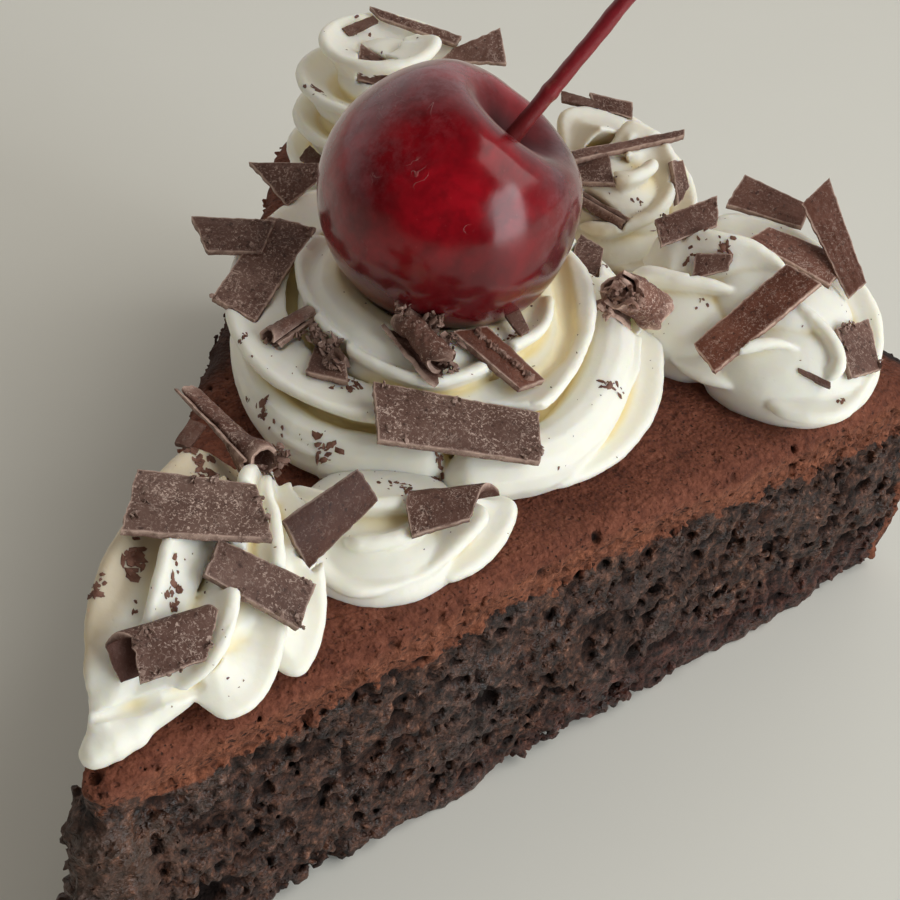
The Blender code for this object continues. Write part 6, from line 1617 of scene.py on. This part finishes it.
# how red-brown each piece is, how glossy, how flecked, and how much its surface is stepped by the blade
FINISH = {
    "choc_slab_tip_long": (0.10, 0.1, 1.0, 0.10), "choc_slab_tip_right": (0.25, 0.15, 0.7, 0.10), "choc_fold_tip_left": (0.25, 0.1, 0.7, 0.08),
    "choc_slab_front_tilted": (1.0, 0.2, 0.28, 0.05), "choc_fold_front_right": (0.35, 0.2, 0.6, 0.08), "choc_slab_rose_large": (0.15, 0.1, 0.9, 0.10),
    "choc_slab_cherry_front": (1.0, 0.85, 0.12, 0.05), "choc_slab_left_upper": (0.2, 0.15, 0.6, 0.12), "choc_slab_left_lower": (0.3, 0.15, 0.6, 0.10),
    "choc_sliver_back_left": (0.3, 0.1, 0.7, 0.06), "choc_chip_rose_right": (0.4, 0.2, 0.5, 0.06), "choc_chip_middle_far": (0.4, 0.1, 0.5, 0.05),
    "choc_sliver_middle_long": (0.5, 0.2, 0.4, 0.05), "choc_chip_middle_near": (0.3, 0.1, 0.6, 0.06), "choc_chip_middle_right": (0.4, 0.1, 0.5, 0.05),
    "choc_slab_right_inner": (0.5, 0.2, 0.4, 0.06), "choc_slab_right_far": (0.7, 0.2, 0.3, 0.08), "choc_slab_right_upright": (0.8, 0.3, 0.3, 0.1),
    "choc_slab_right_across": (0.75, 0.25, 0.45, 0.1), "choc_slab_right_long": (1.0, 0.35, 0.35, 0.1), "choc_chip_right_edge": (0.4, 0.2, 0.5, 0.08),
    "choc_chip_right_small": (0.4, 0.2, 0.5, 0.05), "choc_sliver_left_top": (0.4, 0.2, 0.5, 0.05), "choc_slab_left_top": (0.4, 0.2, 0.5, 0.06),
    "choc_chip_left_top": (0.4, 0.2, 0.5, 0.05), "choc_chip_rose_left": (0.3, 0.1, 0.6, 0.05),
}


def shaving(flake, seed, steps, cell=0.22, rag=1.0):
    """Slab with a broken outline, uneven thickness and the steps that the blade left along it. Returns body and edge
    share.
    """
    x0, x1, x2, x3 = flake["ends"]
    half = flake["half"]
    length = max(x1, x2) - min(x0, x3)
    width = 2 * max(half)
    nu, nv = max(8, int(length / cell)), max(6, int(width / cell))
    grid, normal = slab_grid(flake["ends"], half, flake["bend"], nu, nv)
    u = np.repeat(np.arange(nu + 1) / nu, nv + 1)
    v = np.tile(1 - 2 * np.arange(nv + 1) / nv, nu + 1)
    offset = np.array([seed * 17.3, seed * 5.1, seed * 11.7])
    # distance to the outline, in millimetres
    to_end = np.minimum(u, 1 - u) * length
    to_side = (1 - np.abs(v)) * width / 2
    inner = np.minimum(to_end, to_side)
    pull = np.exp(-inner / 0.5)
    q = grid + offset
    shift = np.stack([0.09 * choc_noise(q, 1.7) + 0.12 * choc_noise(q, 0.5), 0.05 * choc_noise(q + 50, 1.7) + 0.07 * choc_noise(q + 50, 0.5), 0 * u], 1) * rag
    grid = grid + shift * pull[:, None]
    # a gentle wave across the slab, the steps that the blade left along it, and uneven thickness
    wave = 0.06 * choc_noise(q, 5.0) + 0.03 * choc_noise(q, 1.4)
    stripe = 0.5 * steps * choc_noise(np.stack([0.12 * u * length, v * width, 0 * u], 1) + offset, 0.7) + 0.25 * steps * choc_noise(np.stack([0.3 * u * length, v * width, 0 * u], 1) + offset, 0.35)
    thick = CHOC_T / 2 * (1 + 0.10 * choc_noise(q + 9, 2.6) + 0.08 * choc_noise(q + 9, 0.7))
    thick = thick * (0.92 + 0.08 * smoothstep(-0.02, 0.24, inner))
    top = grid + normal * (wave + thick + stripe * (inner > 0.01))[:, None]
    low = grid + normal * (wave - thick)[:, None] + normal * (0.05 * chip_noise(q, 0.8))[:, None]
    m = rotation(flake["turn"])
    verts = np.vstack([top, low]) @ m.T + np.array(flake["at"])
    n, cols = len(grid), nv + 1
    i, j = np.meshgrid(np.arange(nu), np.arange(nv), indexing="ij")
    a = (i * cols + j).ravel()
    quads = np.vstack([np.stack([a, a + 1, a + cols + 1, a + cols], 1), np.stack([n + a, n + a + cols, n + a + cols + 1, n + a + 1], 1)])
    loop = [j for j in range(nv)] + [i * cols + nv for i in range(nu)] + [nu * cols + nv - j for j in range(nv)] + [(nu - i) * cols for i in range(nu)]
    loop = np.array(loop)
    nxt = np.roll(loop, -1)
    quads = np.vstack([quads, np.stack([nxt, loop, n + loop, n + nxt], 1)])
    edge = np.concatenate([1 - smoothstep(0.0, 0.20, inner), np.full(len(inner), 0.12)])
    return verts, quads, edge


def bent_back(flake, seed, steps, extra, radius, turn, slide):
    """Shaving that is wider on its upper side, where the extra width is bent down behind the face round a small radius."""
    x0, x1, x2, x3 = flake["ends"]
    h = flake["half"]
    grow = extra / 2
    slope0, slope1 = (x0 - x3) / (2 * h[0]), (x1 - x2) / (2 * h[1])
    wide = dict(flake, half=(h[0] + grow, h[1] + grow), ends=(x0 + slope0 * extra * 0.3, x1 + slope1 * extra * 0.1, x2, x3), bend=0)
    verts, quads, edge = shaving(wide, seed, steps)
    m = rotation(flake["turn"])
    local = (verts - np.array(flake["at"])) @ m
    local[:, 1] += grow
    line = max(h) - 0.25
    over = local[:, 1] - line
    arc = np.clip(over / radius, 0, turn)
    past = np.maximum(over - radius * turn, 0)
    z = local[:, 2]
    moved = over > 0
    y_new = line + (radius + z) * np.sin(arc) + past * math.cos(turn)
    z_new = -radius + (radius + z) * np.cos(arc) - past * math.sin(turn)
    local[:, 0] = np.where(moved, local[:, 0] + slide * np.clip(over / (radius * turn), 0, 1), local[:, 0])
    local[:, 1] = np.where(moved, y_new, local[:, 1])
    local[:, 2] = np.where(moved, z_new, z)
    # painted shade: the bent-back part is marked for darkening
    inner = np.concatenate([np.zeros(len(verts) // 2), np.ones(len(verts) - len(verts) // 2)])
    return local @ m.T + np.array(flake["at"]), quads, edge * (1 - 0.5 * inner), inner * 0.8


def grain(rng, centre, size, flat=0.6):
    """Small broken bit of chocolate: a lump with uneven corners, or a thin scale when flat is small."""
    verts, faces = blob((0, 0, 0), (1, 1, 1), 4, 6)
    verts = verts * (1 + rng.uniform(-0.45, 0.45, (len(verts), 1))) * np.array([1.25, 0.55 + 0.6 * rng.random(), flat])
    q, _ = np.linalg.qr(rng.normal(size=(3, 3)))
    return verts @ q.T * size + np.asarray(centre), faces


def heap(rng, places, size, spread):
    """Many grains round some places, as one body list."""
    bodies = []
    for centre, count in places:
        for _ in range(int(count * 0.6)):
            bodies.append(grain(rng, np.asarray(centre) + rng.normal(0, 1, 3) * spread * 0.8, size * (0.6 + 1.3 * rng.random() ** 1.5), 0.14 + 0.26 * rng.random()))
    return bodies


def add_bodies(verts, quads, values, bodies):
    """Joins grains to a shaving. Returns points, triangles, quads and the per-point values with the grains' own."""
    tris, more = [], []
    start = len(verts)
    stack = [verts]
    for v, f in bodies:
        for face in f:
            (tris if len(face) == 3 else more).append([i + start for i in face])
        start += len(v)
        stack.append(v)
    extra = start - len(verts)
    quads = np.vstack([np.asarray(quads).reshape(-1, 4)] + ([np.array(more)] if more else []))
    out = [np.concatenate([a, np.full(extra, b)]) for a, b in values]
    return np.vstack(stack), np.array(tris or np.zeros((0, 3))), quads, out


def rolled(name, curl, seed, cell=0.20):
    """Rolled sheet with crumbled ends and an uneven surface."""
    a, b = np.array(curl["a"]), np.array(curl["b"])
    length = np.linalg.norm(b - a)
    nu = max(8, int(length / cell))
    nv = max(16, int(2 * math.pi * max(curl["radius"]) * curl["turns"] * 0.75 / cell))
    verts, faces = curl_mesh(curl, nu, nv, CURL_T)
    n = len(verts) // 2
    u = np.repeat(np.arange(nu + 1) / nu, nv + 1)
    v = np.tile(np.arange(nv + 1) / nv, nu + 1)
    axis = (b - a) / length
    outer, inner = verts[:n], verts[n:]
    mid = (outer + inner) / 2
    q = mid + seed * 13.7
    ragged, bumpy, squash = CURL_FINISH.get(name, (1.0, 1.0, 0.0))
    end = np.exp(-np.minimum(u, 1 - u) * length / 0.8)
    slide = (0.55 * choc_noise(q, 1.3) + 0.40 * choc_noise(q, 0.6)) * end * ragged
    mid = mid + axis * slide[:, None]
    out = outer - inner
    out /= np.linalg.norm(out, axis=1)[:, None]
    t = CURL_T / 2 * (1 + 0.25 * choc_noise(q, 1.8))
    wave = (0.16 * choc_noise(q, 2.4) + 0.13 * choc_noise(q, 0.9) + 0.07 * choc_noise(q, 0.4)) * bumpy
    verts = np.vstack([mid + out * (t + wave)[:, None], mid - out * (t - wave)[:, None]])
    if squash:
        # the roll is pressed flat into a thin folded sheet
        m = basis(axis, CURL_FLAT.get(name, (0.1, 0.2, 1.0)))
        rel = (verts - a) @ m
        along = np.clip(rel[:, 2] / length, 0, 1)
        k = 1 - squash * (1 - smoothstep(0.62, 1.0, along)) if name == "choc_curl_left_long" else 1 - squash
        rel[:, 0] *= k
        verts = rel @ m.T + a
    edge = np.tile(np.maximum(np.exp(-np.minimum(u, 1 - u) * length / 0.35), np.exp(-np.minimum(v, 1 - v) * 8 / 0.35)), 2)
    return verts, np.array(faces), edge


# painted light and shade: how much lighter or darker each piece is made, to look lit as it does next to the others
PAINTED_TONE = {"choc_slab_tip_long": 1.18, "choc_slab_tip_right": 1.05, "choc_fold_tip_left": 1.22, "choc_slab_front_tilted": 0.66, "choc_slab_rose_large": 1.25, "choc_slab_left_upper": 1.6,
        "choc_slab_right_long": 1.65, "choc_slab_right_across": 1.6, "choc_curl_rose_right": 1.7, "choc_slab_cherry_front": 1.25, "choc_slab_right_upright": 1.4}
# pieces whose upper edge is bent back: extra width, radius of the bend, how far it turns, how far that part slides along
FOLDS = {"choc_fold_tip_left": (4.6, 0.55, math.radians(165), -2.3), "choc_fold_front_right": (3.4, 1.0, math.radians(104), 0.6)}
# how ragged the ends of each curl are, how uneven its surface, and how flat it is pressed
CURL_FINISH = {"choc_curl_left_long": (1.1, 0.8, 0.62), "choc_curl_rose_right": (1.6, 1.6, 0.0), "choc_curl_cherry_front": (1.8, 1.7, 0.0), "choc_curl_left_small": (1.7, 1.5, 0.25), "choc_curl_middle_small": (0.8, 0.7, 0.0)}
CURL_FLAT = {"choc_curl_left_long": (0.55, 0.35, 0.75)}
# crumbled places: part of the way along the axis, share of the radius out from it, direction, count, spread, size
CRUMBLED = {
    "choc_curl_left_long": [(1.02, 0.75, (-0.3, -0.6, -0.7), 60, 0.55, 0.30), (1.05, 0.85, (0.6, -0.5, -0.2), 40, 0.45, 0.28), (1.0, 1.0, (0.9, 0.2, 0.1), 22, 0.40, 0.24)],
    "choc_curl_rose_right": [(-0.02, 0.0, (0, 0, 1), 70, 0.75, 0.34), (0.05, 0.75, (0.2, -0.9, -0.4), 40, 0.55, 0.30), (0.02, 0.8, (-0.5, 0.3, -0.8), 30, 0.5, 0.28)],
    "choc_curl_cherry_front": [(0.30, 0.95, (0.5, -0.85, 0.3), 80, 0.62, 0.30), (0.70, 0.95, (0.5, -0.9, 0.1), 70, 0.60, 0.28), (1.0, 0.7, (0.3, -0.7, -0.4), 34, 0.45, 0.26), (0.0, 0.9, (-0.5, -0.4, 0.7), 26, 0.40, 0.22)],
    "choc_curl_left_small": [(-0.05, 0.8, (0.1, 0.2, -0.7), 40, 0.42, 0.24), (0.5, 1.0, (-0.7, -0.3, -0.2), 26, 0.45, 0.20)],
}
for k, (name, flake) in enumerate(FLAKES.items()):
    red, gloss, flecks, steps = FINISH[name]
    rng = np.random.default_rng(700 + k)
    if name in FOLDS:
        verts, quads, edge, core = bent_back(flake, k + 1, steps, *FOLDS[name])
    else:
        verts, quads, edge = shaving(flake, k + 1, steps)
        core = np.zeros(len(verts))
    m, at = rotation(flake["turn"]), np.array(flake["at"])
    x0, x1, x2, x3 = flake["ends"]
    h = flake["half"]
    bodies = []
    if name == "choc_slab_cherry_front":
        # a raised bead of grains down the middle
        line = [np.array([x, 0.15 + 0.05 * x, CHOC_T / 2 + 0.10]) for x in np.arange(-3.4, 3.6, 0.25)]
        for i, p in enumerate(line):
            bodies.append(grain(rng, m @ (p + rng.normal(0, 0.06, 3)) + at, 0.34 + 0.10 * math.sin(i), 0.8))
    if name == "choc_chip_rose_left":
        # crumbs heaped on it and round it in a few places
        bodies += heap(rng, [(m @ np.array([-0.6, 1.2, 1.0]) + at, 46), (m @ np.array([-2.4, 2.0, 1.2]) + at, 36), (m @ np.array([0.8, -0.6, 0.5]) + at, 40), (m @ np.array([-3.2, 3.2, 1.0]) + at, 20)], 0.36, 0.55)
    if name in ("choc_slab_tip_long", "choc_slab_left_upper", "choc_slab_left_lower", "choc_fold_tip_left", "choc_slab_tip_right", "choc_chip_right_edge", "choc_slab_rose_large", "choc_chip_rose_right", "choc_slab_right_inner"):
        # scales that lift off the face near an end or a corner
        for _ in range(7):
            end = rng.random() < 0.6
            u = (rng.random() * 0.10 if rng.random() < 0.5 else 1 - rng.random() * 0.10) if end else rng.random()
            v = rng.uniform(-0.85, 0.85) if end else (0.88 if rng.random() < 0.5 else -0.88)
            top, low_x = x0 + (x1 - x0) * u, x3 + (x2 - x3) * u
            p = np.array([(top * (1 + v) + low_x * (1 - v)) / 2, (h[0] * (1 - u) + h[1] * u) * v, CHOC_T / 2 + 0.02])
            for _ in range(rng.integers(2, 6)):
                bodies.append(grain(rng, m @ (p + rng.normal(0, 0.28, 3) * (1, 1, 0.2)) + at, 0.16 + 0.22 * rng.random(), 0.3))
    verts, tris, quads, (edge, core) = add_bodies(verts, quads, [(edge, 0.35), (core, 0.0)], bodies)
    obj = mesh_object(name + "_visual", verts, tris, quads, chocolate)
    obj.data.set_sharp_from_angle(angle=math.radians(38))
    for label, value in (("edge", edge), ("core", core), ("red", np.full(len(verts), red)), ("gloss", np.full(len(verts), gloss)), ("flecks", np.full(len(verts), flecks)), ("painted_tone", np.full(len(verts), PAINTED_TONE.get(name, 1.25)))):
        tag(obj, label, value)
    pieces.append((obj, (name,), "dark_chocolate"))
for k, (name, curl) in enumerate(CURLS.items()):
    rng = np.random.default_rng(800 + k)
    verts, quads, edge = rolled(name, curl, k + 40)
    n = len(verts) // 2
    # painted shade: the inner side of the roll is marked for darkening
    core = np.concatenate([np.zeros(n), np.full(len(verts) - n, 0.55)])
    a, b = np.array(curl["a"]), np.array(curl["b"])
    bodies = []
    for at, out, direction, count, spread, size in CRUMBLED.get(name, []):
        d = np.array(direction, float)
        axis = (b - a) / np.linalg.norm(b - a)
        d -= (d @ axis) * axis
        d /= max(np.linalg.norm(d), 1e-6)
        r = curl["radius"][0] * (1 - at) + curl["radius"][1] * at
        bodies += heap(rng, [(a + (b - a) * at + d * r * out, count)], size, spread)
    verts, tris, quads, (edge, core) = add_bodies(verts, quads, [(edge, 0.3), (core, 0.0)], bodies)
    obj = mesh_object(name + "_visual", verts, tris, quads, chocolate)
    obj.data.set_sharp_from_angle(angle=math.radians(38))
    for label, value in (("edge", edge), ("core", core), ("red", np.full(len(verts), 0.55)), ("gloss", np.full(len(verts), 0.15)), ("flecks", np.full(len(verts), 0.6)), ("painted_tone", np.full(len(verts), PAINTED_TONE.get(name, 1.25)))):
        tag(obj, label, value)
    pieces.append((obj, (name,), "dark_chocolate"))


# ---- small broken bits of chocolate: chips and crumbs that lie on the cream
# small chips: middle, direction across and up the view, half lengths and widths at both ends, red-brown share
CHIPS = [((39.6, 15.2, 35.2), (0.45, 0.90), 1.5, (0.75, 0.85), 0.2), ((106.0, 6.3, 43.5), (0.95, -0.30), 2.3, (0.60, 0.45), 0.4), ((63.6, -7.0, 44.0), (0.45, -0.90), 1.7, (0.85, 0.50), 1.0),
         ((99.4, 31.9, 47.1), (0.84, 0.54), 2.1, (0.60, 0.45), 0.5), ((87.6, 30.0, 35.6), (0.70, -0.70), 1.9, (1.0, 0.7), 0.4), ((83.1, -32.9, 36.0), (0.87, -0.50), 1.9, (0.20, 0.24), 0.2)]
# clusters: place from above, half spread along and across, direction in degrees, how many, size of the bits
CLUSTERS = [(17.0, 6.0, 1.1, 0.45, 25, 36, 0.27), (13.0, 7.0, 0.9, 0.40, 20, 18, 0.20), (16.0, 1.3, 1.2, 0.45, 30, 26, 0.22), (13.5, 3.5, 0.8, 0.6, 0, 5, 0.13), (30.0, 7.5, 1.4, 0.7, 60, 28, 0.26), (30.0, 6.3, 1.6, 0.4, -60, 26, 0.25),
            (10.3, -2.5, 0.4, 0.3, 0, 4, 0.16), (46.0, 11.0, 1.0, 0.5, 30, 18, 0.24), (47.5, 14.0, 0.9, 0.6, 0, 9, 0.17), (44.3, 3.6, 0.8, 0.4, 20, 14, 0.21), (49.4, -6.7, 0.9, 0.6, 10, 18, 0.21), (44.3, 2.6, 1.2, 0.5, -50, 16, 0.22),
            (44.2, -5.4, 1.2, 0.5, -60, 14, 0.20), (66.2, -17.2, 0.9, 0.3, -40, 16, 0.21), (43.8, 5.3, 0.8, 0.8, 0, 5, 0.14), (44.5, 8.1, 1.0, 0.8, 0, 6, 0.15), (50.7, 4.7, 1.5, 0.8, -50, 20, 0.24), (50.4, 16.6, 1.0, 0.6, 20, 9, 0.18),
            (55.4, -17.0, 0.6, 0.5, 0, 4, 0.11), (89.7, -18.1, 1.3, 0.8, -30, 26, 0.25), (88.8, -16.8, 1.2, 0.6, 20, 12, 0.20), (84.0, -36.0, 0.6, 0.4, 0, 4, 0.14), (90.1, -15.5, 1.0, 0.6, 0, 8, 0.18), (85.7, -18.5, 0.8, 0.8, 0, 5, 0.13),
            (89.6, 31.5, 1.2, 0.8, 0, 14, 0.23), (94.0, 26.0, 1.2, 0.8, 0, 8, 0.18), (99.7, 32.5, 1.0, 0.8, 0, 10, 0.19), (94.0, -2.7, 1.2, 1.0, 0, 5, 0.13), (96.0, -6.5, 1.0, 1.0, 0, 6, 0.14), (62.5, -6.5, 0.9, 0.7, -40, 16, 0.20)]
rng = np.random.default_rng(97)
bpy.context.view_layer.update()


def under(x, y):
    """Top of the cream below a place: point and normal in millimetres, or nothing."""
    best = None
    start = Vector(metres(np.array([[x, y, 90.0]]))[0])
    for name, obj in creams.items():
        hit, place, normal, _ = obj.ray_cast(start, Vector((0, 0, -1)))
        if hit and (best is None or place.z > best[0].z):
            best = (place, normal)
    if best is None:
        return None
    return (np.array(best[0]) - ORIGIN) / MM, np.array(best[1])


def lying(x, y, size, flat):
    """One bit on the cream at a place, turned flat to it and sunk a little."""
    found = under(x, y)
    if found is None or found[1][2] < 0.12:
        return None
    place, normal = found
    side = np.cross(normal, rng.normal(size=3))
    m = basis(normal, side)
    verts, faces = blob((0, 0, 0), (1, 1, 1), 4, 6)
    verts = verts * (1 + rng.uniform(-0.45, 0.45, (len(verts), 1))) * np.array([1.35, 0.45 + 0.6 * rng.random(), flat])
    return verts * size @ m.T + place + normal * size * flat * 0.15, faces


bits = []
for x0, y0, along, across, turn, count, size in CLUSTERS:
    c, d = math.cos(math.radians(turn)), math.sin(math.radians(turn))
    for _ in range(count):
        a, b = rng.normal(0, along * 0.75), rng.normal(0, across * 0.75)
        bit = lying(x0 + a * c - b * d, y0 + a * d + b * c, size * (0.5 + 1.35 * rng.random() ** 1.4), 0.16 + 0.25 * rng.random())
        if bit:
            bits.append(bit)
for _ in range(260):
    r, a = 104 * math.sqrt(rng.random()), rng.uniform(-1, 1) * APEX / 2
    bit = lying(r * math.cos(a), r * math.sin(a), 0.05 + 0.07 * rng.random() ** 2, 0.6)
    if bit:
        bits.append(bit)
for k, (at, (ax, ay), reach, widths, redness) in enumerate(CHIPS):
    flake = dict(ends=(-reach, reach * 0.9, reach, -reach * 0.85), half=widths, bend=12, turn=(0, 0, 0), at=(0, 0, 0))
    verts, quads, edge = shaving(flake, 300 + k, 0.05, cell=0.16)
    x_dir = np.array(right) * ax + np.array(up) * ay
    facing = -np.array(forward) * 0.6 + np.array([0, 0, 0.6])
    m = basis(facing, x_dir)
    bits.append((verts @ m.T + np.array(at), [list(q) for q in quads]))
crumbs = mesh_from_parts("chocolate_crumbs", bits, chocolate)
crumbs.data.set_sharp_from_angle(angle=math.radians(38))
count = len(crumbs.data.vertices)
for label, value in (("edge", 0.15), ("core", 0.0), ("red", 0.85), ("gloss", 0.2), ("flecks", 0.3), ("painted_tone", 1.0)):
    tag(crumbs, label, np.full(count, value))
solid = sum(len(v) for v, _ in bits[-len(CHIPS):])
tag(crumbs, "pale", np.concatenate([np.full(count - solid, 0.75), np.zeros(solid)]))
pieces.append((crumbs, (), "dark_chocolate"))


# ---- hand over to the frame
for obj, nodes, slot in pieces:
    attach(obj, "root")
    if nodes:
        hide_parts(*nodes)
